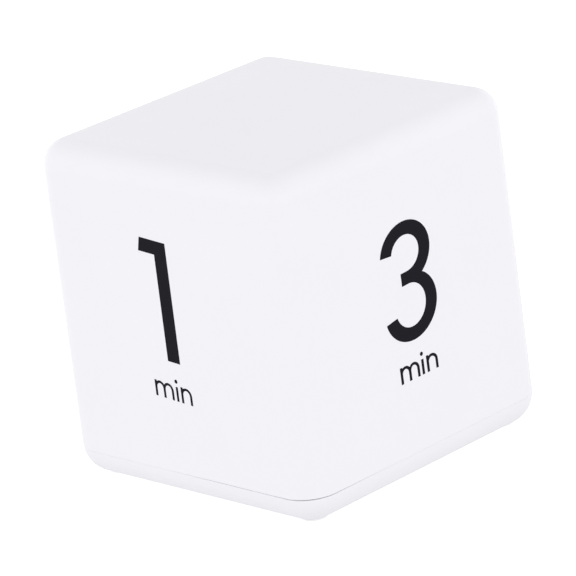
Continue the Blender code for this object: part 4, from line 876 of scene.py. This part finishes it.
# Tilt sensor
# A black moulded box with a lid in which a steel ball rolls between four brass pins as the cube is
# turned, so that the chip knows which side is up.
BOX_LOW, BOX_HIGH = span("tilt_housing")
box = block_piece("tilt_box", (BOX_LOW, BOX_HIGH, 0.2, 0.5))
room = (BOX_LOW + Vector((1, 1, 1)), BOX_HIGH + Vector((-1, -1, 1)), 0.0, 0.4)
combine(box, "DIFFERENCE", [room], [(at, BOX_LOW.z - 1, BOX_LOW.z + 2, 0.6, 0.6, 24) for at in PIN_PLACES])
dress(box, BLACK_NYLON, "black_epoxy", "tilt_housing")
CAP_LOW, CAP_HIGH = span("tilt_cap")
cap = block_piece("tilt_lid", (CAP_LOW, CAP_HIGH, 0.25, 0.5))
combine(cap, "DIFFERENCE", posts=[(middle("tilt_housing").xy, CAP_HIGH.z - 0.25, CAP_HIGH.z + 1, 1.1)])
dress(cap, BLACK_NYLON, "black_epoxy", "tilt_cap")
for i, at in enumerate(PIN_PLACES, 1):
    profile = eased(rod(*round_span(f"tilt_pin_{i}")), 0.15)
    pin = turned_piece(f"sensor_pin_{i}", profile, Matrix.Translation((*at, 0)), 24)
    dress(pin, BRASS, "brass", f"tilt_pin_{i}", smooth=50)
# Hardened and tumbled steel: a darker, cleaner mirror than the plated parts.
BALL_STEEL = new_material("polished_ball_steel", ("#C9CACC", "#C0C1C4"), 0.09, 1, (0.6, 0.6, 0.6), 0.0005,
                          metallic=1.0)
ball = bmesh.new()
bmesh.ops.create_icosphere(ball, subdivisions=5, radius=round_span("tilt_ball")[0],
                           matrix=Matrix.Translation(middle("tilt_ball")))
dress(new_object("sensor_ball", ball), BALL_STEEL, "nickel_plated_steel", "tilt_ball", body="ball",
      smooth=60)

# Leads
# Stranded wires in PVC insulation, cut to length and soldered at both ends: a red and a black one
# from the battery contacts, and a red and a black one from the buzzer. Their ends are tinned.
LEADS = {
    "battery_lead_red": ((25.5, -14.65, 16.5), (25.5, -14.4, 17.9), (25.0, -11.5, 18.2), (24.0, -6.0, 16.3),
                         (23.2, -0.5, 16.2), (22.9, 4.5, 15.6), (22.9, 6.9, 12.8), (22.9, 7.0, 9.9)),
    "battery_lead_black": ((25.5, -3.75, 16.5), (25.5, -3.6, 17.6), (25.4, -1.6, 18.0), (25.3, 3.6, 16.6),
                           (25.2, 6.8, 13.0), (25.2, 7.0, 9.9)),
    "buzzer_lead_red": ((18.5, 12.5, 3.95), (18.6, 12.6, 4.9), (19.6, 14.0, 5.9), (21.6, 16.4, 6.4),
                        (22.4, 17.4, 7.7)),
    "buzzer_lead_black": ((15.5, 7.3, 3.65), (15.4, 7.3, 4.7), (15.8, 6.6, 5.8), (17.6, 5.9, 6.5),
                          (18.6, 5.8, 7.7))}
JACKET_RADIUS, CORE_RADIUS = 0.55, 0.3
# Soft PVC: saturated colour with a dull waxy gloss.
RED_PVC = new_material("red_pvc_insulation", ("#B3201F", "#A61B1B"), 0.42, 3, (0.5, 0.5, 0.5), 0.006)
BLACK_PVC = new_material("black_pvc_insulation", ("#1E1E20", "#19191B"), 0.42, 3, (0.5, 0.5, 0.5), 0.006)


def smooth_line(route, spacing=0.4):
    """Points a set distance apart on a smooth curve through the places of a route."""
    places = [Vector(place) for place in route]
    places = [2 * places[0] - places[1]] + places + [2 * places[-1] - places[-2]]
    points = [places[1]]
    for before, start, end, after in zip(places, places[1:], places[2:], places[3:]):
        steps = max(1, round((end - start).length / spacing))
        for step in range(1, steps + 1):
            t = step / steps
            square = (2 * before - 5 * start + 4 * end - after) * t ** 2
            cube = (3 * start - before - 3 * end + after) * t ** 3
            points.append(start + 0.5 * ((end - before) * t + square + cube))
    return points


lead_cores = []
for lead, route in LEADS.items():
    line = smooth_line(route)
    finish, slot = (RED_PVC, "red_lead") if lead.endswith("red") else (BLACK_PVC, "black_lead")
    dress(tubes(lead + "_jacket", [line[3:-2]], JACKET_RADIUS, 5), finish, slot, lead, smooth=60)
    lead_cores.append(line)
dress(tubes("lead_cores", lead_cores, CORE_RADIUS, 3), SOLDER, "nickel_plated_steel", smooth=60)
ON_CONTACT, ON_SOUNDER = (0.42, 0.7, 0.75), (0.75, 0.75, 0.4)
blobs = bmesh.new()
for at, size in (((25.62, -14.65, 16.1), ON_CONTACT), ((25.62, -3.75, 16.1), ON_CONTACT),
                 ((18.5, 12.5, 3.68), ON_SOUNDER), ((15.5, 7.3, 3.38), ON_SOUNDER)):
    bmesh.ops.create_icosphere(blobs, subdivisions=3, radius=1.0,
                               matrix=Matrix.Translation(at) @ Matrix.Diagonal((*size, 1)))
dress(new_object("solder_blobs", blobs), SOLDER, "nickel_plated_steel", smooth=60)

# Screws
# Zinc-plated pan-head screws with a cross recess and a coarse thread that cuts its own way into
# the plastic: four hold the base cover to the housing, and three shorter ones hold the board.

# Zinc with a clear passivation: greyer than nickel, with faint yellow and blue patches.
ZINC = new_material("clear_zinc_plate", ("#B9B7AF", "#ABAAAB"), 0.3, 1.2, (0.4, 0.4, 0.4), 0.003,
                    metallic=1.0)


def add_thread(bm, core, crest, pitch, start, end, steps=24):
    """A raised thread: a small three-sided tooth spun up round the core."""
    before = set(bm.verts)
    tooth = [bm.verts.new((radius, 0, start + rise * pitch))
             for radius, rise in ((core - 0.05, -0.3), (crest, 0), (core - 0.05, 0.3))]
    edges = [bm.edges.new((tooth[i], tooth[(i + 1) % 3])) for i in range(3)]
    turns = (end - start) / pitch
    bmesh.ops.spin(bm, geom=tooth + edges, cent=(0, 0, 0), axis=(0, 0, 1), dvec=(0, 0, pitch / steps),
                   angle=turns * math.tau, steps=round(turns * steps))
    made = [vert for vert in bm.verts if vert not in before]
    open_edges = list({edge for vert in made for edge in vert.link_edges if edge.is_boundary})
    bmesh.ops.holes_fill(bm, edges=open_edges)
    bmesh.ops.recalc_face_normals(bm, faces=list({face for vert in made for face in vert.link_faces}))


def pan_screw(name, place, head_radius, head_height, shank, length):
    """A screw with its head's outer face at its own origin and its shank up its axis."""
    core = shank * 0.76
    tip = head_height + length
    profile = [(0, 0), (head_radius * 0.7, 0.0), (head_radius, head_height * 0.5),
               (head_radius, head_height), (core, head_height), (core, tip - 1.2), (0.25, tip - 0.1),
               (0, tip)]
    screw = turned_piece(name, eased(profile, 0.18), sides=48)
    recess = bmesh.new()
    wing = Matrix.Diagonal((head_radius * 1.15, head_radius * 0.3, head_height * 1.3, 1))
    for turn in (0, math.pi / 2):
        turned_wing = Matrix.Rotation(turn, 4, "Z") @ wing
        verts = bmesh.ops.create_cube(recess, size=1.0, matrix=turned_wing)["verts"]
        bmesh.ops.scale(recess, vec=(0.45, 0.45, 1), verts=[vert for vert in verts if vert.co.z > 0])
    combine(screw, "DIFFERENCE", tools=recess, crossing=True)
    bm = mesh_of(screw)
    add_thread(bm, core, shank, shank * 0.85, head_height + 0.5, tip - 0.7)
    bmesh.ops.transform(bm, matrix=place, verts=bm.verts)
    return put_back(bm, screw)


for i, at in enumerate(CASE_SCREWS, 1):
    foot = span(f"base_screw_{i}")[0].z
    place = Matrix.Translation((*at, foot)) @ Matrix.Rotation(math.radians(37 * i), 4, "Z")
    screw = pan_screw(f"case_screw_{i}", place, head_radius=1.9, head_height=1.4, shank=0.95, length=10.0)
    dress(screw, ZINC, "screw_steel", f"base_screw_{i}")
HEAD_UP = Matrix.Rotation(math.pi, 4, "X")
for i, at in enumerate(BOARD_SCREWS, 1):
    head = span(f"board_screw_{i}")[1].z
    place = Matrix.Translation((*at, head)) @ HEAD_UP @ Matrix.Rotation(math.radians(53 * i), 4, "Z")
    screw = pan_screw(f"post_screw_{i}", place, head_radius=1.6, head_height=1.1, shank=0.75, length=4.8)
    dress(screw, ZINC, "screw_steel", f"board_screw_{i}")

# Housing
# The five-sided shell of white ABS, moulded in one shot with soft round edges and a slight draft.
# It drops over the lip of the base cover, and a gusseted boss in each corner takes a case screw.
# Its rim stands a little open along one side, and most at the front corner.
WALL = 2.0
BOSS_RADIUS, BOSS_LOW, BOSS_HIGH, BORE_TOP = 2.4, 6.8, 20.0, 17.0
GUSSET, GUSSET_LOW, GUSSET_HIGH, GUSSET_REACH = 1.2, 8.9, 18.0, 29.6
SEAM_CLOSED, SEAM_OPEN, SEAM_AT_CORNER = 0.012, 0.075, 0.17
OPEN_MIDDLE, OPEN_REACH, CORNER_REACH = FRONT_CORNER - Vector((12, 0)), 19.0, 6.0


def housing_shell():
    """The shell with its rim, its bosses and two gussets to each, and the bosses' bores."""
    shell = part_of_form("housing_shell", True)
    for vert in shell.data.vertices:
        if abs(vert.co.z - SEAM_HEIGHT) < 0.001:
            along = math.exp(-((vert.co.xy - OPEN_MIDDLE).length / OPEN_REACH) ** 6)
            near = math.exp(-((vert.co.xy - FRONT_CORNER).length / CORNER_REACH) ** 2)
            opened = (SEAM_OPEN - SEAM_CLOSED) * along + (SEAM_AT_CORNER - SEAM_OPEN) * near
            vert.co.z += SEAM_CLOSED + opened
    wall = shell.modifiers.new("wall", "SOLIDIFY")
    wall.thickness = WALL
    wall.offset = -1.0
    wall.use_even_offset = True
    settle(shell)
    combine(shell, "UNION", posts=[(at, BOSS_LOW, BOSS_HIGH, BOSS_RADIUS + 0.1, BOSS_RADIUS - 0.1)
                                   for at in CASE_SCREWS])
    for axis in (0, 1):
        gussets = []
        for at in CASE_SCREWS:
            out, side = at.copy(), Vector((0, 0))
            out[axis] = math.copysign(GUSSET_REACH, at[axis])
            side[1 - axis] = GUSSET / 2
            gussets.append(((min(at.x, out.x) - side.x, min(at.y, out.y) - side.y, GUSSET_LOW),
                            (max(at.x, out.x) + side.x, max(at.y, out.y) + side.y, GUSSET_HIGH)))
        combine(shell, "UNION", gussets)
    bores = [(at, BOSS_LOW - 1, BORE_TOP, CASE_SCREW_BORE) for at in CASE_SCREWS]
    return combine(shell, "DIFFERENCE", posts=bores)


dress(housing_shell(), WHITE_ABS, "white_abs", "housing")

# Printed numerals
# The same black ink, pad-printed on the four side faces after moulding: a numeral with its unit
# under it. The film is a few hundredths of a millimetre thick, so only its outline shows.
MIN_RISE = 1.36


def face_frame(quarter_turns):
    """Place of a flat shape on a side face: X along it, Y up it, from the cube's foot."""
    draft = math.atan(SIDE_SLOPE)
    up = Vector((0, math.sin(draft), math.cos(draft)))
    along = Vector((1, 0, 0))
    place = Matrix((along, up, along.cross(up))).transposed().to_4x4()
    place.translation = (0, -HALF_AT_BASE, 0)
    return Matrix.Rotation(quarter_turns * math.pi / 2, 4, "Z") @ place


def one(shift=0.0):
    """The numeral 1: an upright stroke with a flat flag to its left."""
    points = ((-4.45, 49.5), (2.0, 49.5), (2.0, 27.0), (-1.05, 27.0), (-1.05, 46.85), (-5.05, 46.85))
    return [[(x + shift, y) for x, y in points]]


def three():
    """The numeral 3: two open round bowls that meet in a short middle stroke, and rise a little."""
    upper, lower, inside = (-0.45, 42.0), (-0.57, 32.2), (-0.6, 32.44)
    points = arc(upper, (6.38, 5.79), 169, -55) + arc(lower, (6.69, 6.19), 50, -169)
    points += arc(inside, (3.86, 3.93), -164, 90) + [(-2.19, 36.37), (-2.19, 38.72)]
    points += arc(upper, (3.51, 3.29), -90, 167)
    return [[(x, y + 0.05 * x) for x, y in points]]


def five():
    """The numeral 5: a flat top stroke, a leaning stem and one round bowl."""
    centre = (-0.4, 33.55)
    points = [(-4.9, 49.3), (4.9, 49.3), (4.9, 46.8), (-2.55, 46.8), (-2.95, 39.95)]
    points += arc(centre, (6.5, 6.9), 108, -165) + arc(centre, (3.75, 4.5), -162, 146)
    return [points + [(-5.65, 36.4)]]


def zero(shift):
    """The numeral 0: an upright oval ring."""
    return [arc((shift, 41.8), radii, 180, 0) + arc((shift, 34.4), radii, 0, -180)
            for radii in ((6.2, 7.7), (3.35, 5.35))]


def arched_letter(left, pitch, arches, foot, top, stroke):
    """An n or an m: stems a pitch apart under round arches, as one outline."""
    inner = (pitch - stroke) / 2
    outer = inner + stroke
    spring = top - MIN_RISE
    branch = math.degrees(math.acos(-inner / outer))
    cross = math.degrees(math.acos(pitch / 2 / outer))
    middles = [left + stroke + inner + pitch * i for i in range(arches)]
    points = [(left, foot), (left, top), (left + stroke, top)]
    for i, centre in enumerate(middles):
        start = 180 - cross if i else branch
        end = 0 if i == arches - 1 else cross
        points += arc((centre, spring), (outer, MIN_RISE), start, end, 14)
    points.append((middles[-1] + outer, foot))
    for centre in reversed(middles):
        points.append((centre + inner, foot))
        points += arc((centre, spring), (inner, MIN_RISE - stroke * 0.85), 0, 180, 14)
        points.append((centre - inner, foot))
    return points


def minutes(foot, height, stroke, width):
    """The word min in thin round strokes, drawn in a little about the middle of its m."""
    half = stroke / 2
    top = foot + height
    stem = [(0.42 - half, foot), (0.42 - half, top - 0.25), (0.42 + half, top - 0.25), (0.42 + half, foot)]
    shapes = [arched_letter(-5.38, 2.16, 2, foot, top, stroke), stem,
              arc((0.4, top + 0.77), (0.38, 0.38), 345, 0, 23),
              arched_letter(1.41, 2.29, 1, foot, top, stroke)]
    return [[(width * (x + 2.9) - 2.9, y) for x, y in shape] for shape in shapes]


# By side face: the numeral, how much its print slopes, the foot, height, stroke and relative width
# of the word under it, and its nodes. The word under the 1 is a little higher, thinner and narrower.
MIN_SIZES = (19.02, 3.08, 0.61, 1.0)
PRINTS = (("print_1", one(), -0.065, (19.62, 3.02, 0.56, 0.965), ["numeral_1"]),
          ("print_3", three(), 0.013, MIN_SIZES, ["numeral_3"]),
          ("print_5", five(), 0.0, MIN_SIZES, ["numeral_5"]),
          ("print_10", one(-5.8) + zero(4.6), 0.0, MIN_SIZES, ["numeral_10_one", "numeral_10_zero"]))
for turns, (print_name, numeral, slope, min_sizes, nodes) in enumerate(PRINTS):
    for part_name, shapes, stands_for in ((print_name, numeral, nodes),
                                          (print_name + "_min", minutes(*min_sizes), ())):
        ink_film = flat_shape(part_name, shapes, INK_THICKNESS, slope)
        ink_film.data.transform(face_frame(turns))
        dress(ink_film, INK, "black_print", *stands_for)

# Battery cells
# Two AAA cells, pointing opposite ways: a drawn and nickel-plated steel can with a nub at its
# positive end, in a heat-shrunk film jacket that turns in over both ends. The jacket is dark with
# a pale band at the positive end, and a plus and a minus printed on it.
CELL_RADIUS, CELL_LENGTH, CELL_PLUS_X = 5.25, 44.5, 24.6
CAN = [(0, 0.3), (3.6, 0.3), (4.1, 0.0), (4.7, 0.0), (5.1, 0.35), (5.1, 43.1), (4.7, 43.4), (2.5, 43.4),
       (2.2, 43.55), (1.9, 43.7), (1.9, 44.5), (0, 44.5)]
JACKET = [(4.4, 0.0), (4.9, 0.0), (5.25, 0.35), (5.25, 43.15), (4.95, 43.5), (4.3, 43.5), (4.3, 43.42),
          (4.75, 43.42), (5.12, 43.1), (5.12, 0.4), (4.75, 0.06), (4.4, 0.06)]
BAND_START, BAND_END = 35.5, 42.4
PLUS_AT, MINUS_AT = 39.0, 5.0
MARK_LIFT, MARK_THICKNESS, MARK_HALF, BAR_HALF = 0.02, 0.04, 1.5, 0.35


def jacket_film(name, sign):
    """Shrink film, smooth and fairly glossy: dark grey with a pale metallic-looking band."""
    material = new_material(name, ("#2C2E35", "#282A31"), 0.3, 6, (2.0, 0.5, 0.5), 0.004)
    tree = material.node_tree
    place = add_node(tree, "TexCoord").outputs["Object"]
    along = add_node(tree, "SeparateXYZ", {0: place}).outputs["X"]
    start = sign * (CELL_PLUS_X - CELL_LENGTH) * MM
    from_end = add_node(tree, "Math", {0: along, 1: start}, operation="SUBTRACT")
    from_end = add_node(tree, "Math", {0: from_end.outputs[0], 1: float(sign)}, operation="MULTIPLY")
    past = add_node(tree, "Math", {0: from_end.outputs[0], 1: BAND_START * MM},
                    operation="GREATER_THAN")
    short = add_node(tree, "Math", {0: from_end.outputs[0], 1: BAND_END * MM}, operation="LESS_THAN")
    band = add_node(tree, "Math", {0: past.outputs[0], 1: short.outputs[0]}, operation="MULTIPLY")
    shader = tree.nodes["Principled BSDF"]
    dark = shader.inputs["Base Color"].links[0].from_socket
    label = add_node(tree, "Mix", {0: band.outputs[0], 6: dark, 7: linear("#C3C5CA")},
                     data_type="RGBA")
    tree.links.new(label.outputs[2], shader.inputs["Base Color"])
    return material


def wrapped_mark(name, bars, x, y):
    """Bars of ink bent round the underside of a cell; each bar is a half width and half height."""
    bm = bmesh.new()
    for half_x, half_y in bars:
        bmesh.ops.create_grid(bm, x_segments=4, y_segments=14, size=1.0,
                              matrix=Matrix.Diagonal((half_x, half_y, 1, 1)))
    radius = CELL_RADIUS + MARK_LIFT
    for vert in bm.verts:
        angle = vert.co.y / radius
        vert.co = (x + vert.co.x, y + radius * math.sin(angle), CELL_Z - radius * math.cos(angle))
    bmesh.ops.solidify(bm, geom=bm.faces, thickness=-MARK_THICKNESS)
    bmesh.ops.recalc_face_normals(bm, faces=bm.faces)
    return new_object(name, bm)


# White screen ink on the jacket: flat and opaque.
PALE_INK = new_material("pale_screen_ink", ("#E4E5E8", "#DCDDE1"), 0.5, 2, (0.4, 0.4, 0.4), 0.002)
for i, (cell, sign) in enumerate(CELLS, 1):
    y, flat_end = CELL_Y[cell], CELL_PLUS_X - CELL_LENGTH
    place = along_x(sign * flat_end, y, CELL_Z, sign)
    dress(turned_piece(f"cell_{i}_can", eased(CAN, 0.15), place, 64), NICKEL, "nickel_plated_steel", cell)
    film = jacket_film(f"dark_shrink_film_{i}", sign)
    dress(turned_piece(f"cell_{i}_jacket", JACKET + JACKET[:1], place, 64), film, "cell_jacket", cell)
    bars = ((BAR_HALF, MARK_HALF), (MARK_HALF, BAR_HALF))
    plus = wrapped_mark(f"cell_{i}_plus", bars, sign * (flat_end + PLUS_AT), y)
    dress(plus, INK, "black_print")
    minus = wrapped_mark(f"cell_{i}_minus", bars[:1], sign * (flat_end + MINUS_AT), y)
    dress(minus, PALE_INK, "cell_jacket")

# Battery door
# A loose plate of the same white ABS: two hooks go under the rim at one end, and at the other a
# thin springy catch snaps in. It has two stiffening ribs inside, and outside an arrow and three
# grip ridges that show where to press. The catch is moulded on it and rides with the plate.
HOOK_WIDTH, HOOK_REACH, HOOK_POST, HOOK_LOW, HOOK_HIGH, HOOK_INSET = 1.8, 1.7, 1.0, 2.3, 3.2, 0.7
CATCH = [(20.6, 0.55), (20.6, 1.45), (22.6, 1.45), (22.6, 3.4), (23.4, 3.4), (24.5, 2.3), (23.4, 2.3),
         (23.4, 0.55)]
DOOR_TOP, RIB_BOTTOM, RIB_TOP = 1.65, 1.2, 2.1
ARROW_DEPTH, RIDGE_RISE = 0.4, 0.2


def door_plate():
    """The plate with its ribs and hooks."""
    plate = block_piece("door_plate", ((-DOOR_HALF, *DOOR_LOW.yz), (*DOOR_HIGH.xy, DOOR_TOP), 0.18, 0.5))
    raised = [((x - 0.5, BAY_LOW[1] + 1.6, RIB_BOTTOM), (x + 0.5, BAY_HIGH[1] - 1.6, RIB_TOP), 0.12)
              for x in (-12.0, 12.0)]
    noses = []
    for y in (DOOR_LOW.y + HOOK_INSET, DOOR_HIGH.y - HOOK_INSET - HOOK_WIDTH):
        raised.append(((-DOOR_HALF + 0.05, y, RIB_BOTTOM),
                       (-DOOR_HALF + HOOK_POST, y + HOOK_WIDTH, HOOK_HIGH), 0.1))
        noses.append(((-DOOR_HALF - HOOK_REACH, y + 0.01, HOOK_LOW),
                      (-DOOR_HALF + HOOK_POST / 2, y + HOOK_WIDTH - 0.01, HOOK_HIGH - 0.01), 0.2))
    combine(plate, "UNION", raised)
    return combine(plate, "UNION", noses)


def cut_door(plate):
    """The notch of the catch, the arrow and the grip ridges."""
    combine(plate, "DIFFERENCE", [((CATCH_LOW.x - 0.3, CATCH_LOW.y - 0.3, -1),
                                   (DOOR_HALF + 2, CATCH_HIGH.y + 0.3, 2.0), 0.0, 0.25)])
    arrow = [(17.9, CATCH_Y), (14.9, CATCH_Y + 2.2), (14.9, CATCH_Y - 2.2)]
    arrow = flat_shape("arrow", [arrow], 2 * ARROW_DEPTH)
    arrow.data.transform(Matrix.Translation((0, 0, DOOR_LOW.z)))
    combine(plate, "DIFFERENCE", tools=taken(arrow))
    ridges = [centred((x, CATCH_Y), 0.3, 3.2, DOOR_LOW.z - RIDGE_RISE, DOOR_LOW.z + 0.3, 0.14)
              for x in (9.4, 10.8, 12.2)]
    return combine(plate, "UNION", ridges)


def snap_catch():
    """A bent strip seen from the side, as wide as its notch allows."""
    strip = flat_shape("snap_catch", [CATCH], CATCH_HIGH.y - CATCH_LOW.y)
    strip.data.transform(Matrix.Translation((0, CATCH_Y, 0)) @ Matrix.Rotation(math.pi / 2, 4, "X"))
    return round_edges(strip, 0.12, 40)


dress(cut_door(door_plate()), WHITE_ABS, "white_abs", "battery_door", body="door")
dress(snap_catch(), WHITE_ABS, "white_abs", "door_catch", body="door")

# Studio
# A table of translucent white acrylic that lets light up to the cube's foot, soft lamps all round,
# and the camera where the photograph was taken from: a long lens a little above the cube and
# tilted to one side.
CAMERA_AT = (542.6, -510.5, 283.5)
CAMERA_AZIMUTH, CAMERA_ELEVATION, CAMERA_ROLL = 46.78, 18.74, -7.51
FOCAL_PIXELS, PHOTO_PIXELS, SENSOR = 4356.8, 576, 36.0


def towards(azimuth, elevation):
    """Direction from the cube to a camera or lamp."""
    a, e = math.radians(azimuth), math.radians(elevation)
    return Vector((math.sin(a) * math.cos(e), -math.cos(a) * math.cos(e), math.sin(e)))


def stand(name, data, place, facing):
    """A camera or lamp that stands at a place and faces against a direction."""
    holder = bpy.data.objects.new(name, data)
    holder.location = place
    holder.rotation_mode = "QUATERNION"
    holder.rotation_quaternion = facing
    bpy.context.scene.collection.objects.link(holder)
    return holder


lens = bpy.data.cameras.new("camera")
lens.sensor_width = SENSOR
lens.lens = FOCAL_PIXELS / PHOTO_PIXELS * SENSOR
lens.clip_start = 0.01
view = (-towards(CAMERA_AZIMUTH, CAMERA_ELEVATION)).to_track_quat("-Z", "Y").to_matrix()
view = view @ Matrix.Rotation(math.radians(CAMERA_ROLL), 3, "Z")
bpy.context.scene.camera = stand("camera", lens, Vector(CAMERA_AT) * MM, view.to_quaternion())


def soft_lamp(name, azimuth, elevation, distance, size, power, mirrored):
    """A square soft lamp that faces the middle of the cube and isn't seen itself."""
    lamp = bpy.data.lights.new(name, "AREA")
    lamp.size = size
    lamp.energy = power
    back = towards(azimuth, elevation)
    holder = stand(name, lamp, Vector((0, 0, BODY_HEIGHT * MM / 2)) + back * distance,
                   (-back).to_track_quat("-Z", "Y"))
    holder.visible_camera = False
    holder.visible_glossy = mirrored


for i in range(8):
    soft_lamp(f"soft_lamp_{i + 1}", azimuth=45 * i, elevation=8.5, distance=2.0, size=2.0, power=5.1,
              mirrored=i % 2 == 0)


def studio_world(light):
    """White where it is seen or mirrored, and a plain level of light from all round."""
    world = bpy.data.worlds.new("studio")
    world.use_nodes = True
    tree = world.node_tree
    path = add_node(tree, "LightPath").outputs
    seen = add_node(tree, "Math", {0: path["Is Camera Ray"], 1: path["Is Glossy Ray"]},
                    operation="MAXIMUM")
    seen = add_node(tree, "Math", {0: seen.outputs[0], 1: path["Is Transmission Ray"]},
                    operation="MAXIMUM")
    level = add_node(tree, "MapRange", {"Value": seen.outputs[0], "To Min": light, "To Max": 1.0})
    tree.links.new(level.outputs["Result"], tree.nodes["Background"].inputs["Strength"])
    tree.nodes["Background"].inputs["Color"].default_value = (1, 1, 1, 1)
    bpy.context.scene.world = world


def studio_floor(glow, let_through, opening):
    """A white translucent table: light comes up through it, and it is clear from below.

    It is open under the cube, where the battery door swings down.
    """
    bm = bmesh.new()
    bmesh.ops.create_grid(bm, x_segments=3, y_segments=3, size=3.0,
                          matrix=Matrix.Translation((0, 0, -0.05 * MM)))
    inner = [vert for vert in bm.verts if not vert.is_boundary]
    bmesh.ops.scale(bm, vec=(opening * MM, opening * MM, 1), verts=inner)
    middle_face = [face for face in bm.faces if all(vert in inner for vert in face.verts)]
    bmesh.ops.delete(bm, geom=middle_face, context="FACES")
    floor = new_object("floor", bm)
    material = bpy.data.materials.new("translucent_white_table")
    material.use_nodes = True
    tree = material.node_tree
    tree.nodes.clear()
    sheet = add_node(tree, "BsdfDiffuse", {"Color": linear("#DCDCE0")})
    seen = add_node(tree, "LightPath").outputs["Is Camera Ray"]
    strength = add_node(tree, "Math", {0: seen, 1: glow}, operation="MULTIPLY")
    bright = add_node(tree, "Emission", {"Strength": strength.outputs[0]})
    lit = add_node(tree, "AddShader", {0: sheet.outputs[0], 1: bright.outputs[0]})
    unseen = add_node(tree, "Math", {0: seen, 1: -let_through, 2: let_through},
                      operation="MULTIPLY_ADD")
    under = add_node(tree, "NewGeometry").outputs["Backfacing"]
    share = add_node(tree, "Math", {0: under, 1: unseen.outputs[0]}, operation="MAXIMUM")
    clear = add_node(tree, "BsdfTransparent")
    both = add_node(tree, "MixShader", {0: share.outputs[0], 1: lit.outputs[0], 2: clear.outputs[0]})
    add_node(tree, "OutputMaterial", {"Surface": both.outputs[0]})
    floor.data.materials.append(material)
    floor.visible_glossy = False
    floor.visible_transmission = False


studio_world(light=0.775)
studio_floor(glow=0.6, let_through=0.9, opening=25.5)
bpy.context.scene.view_settings.view_transform = "Standard"
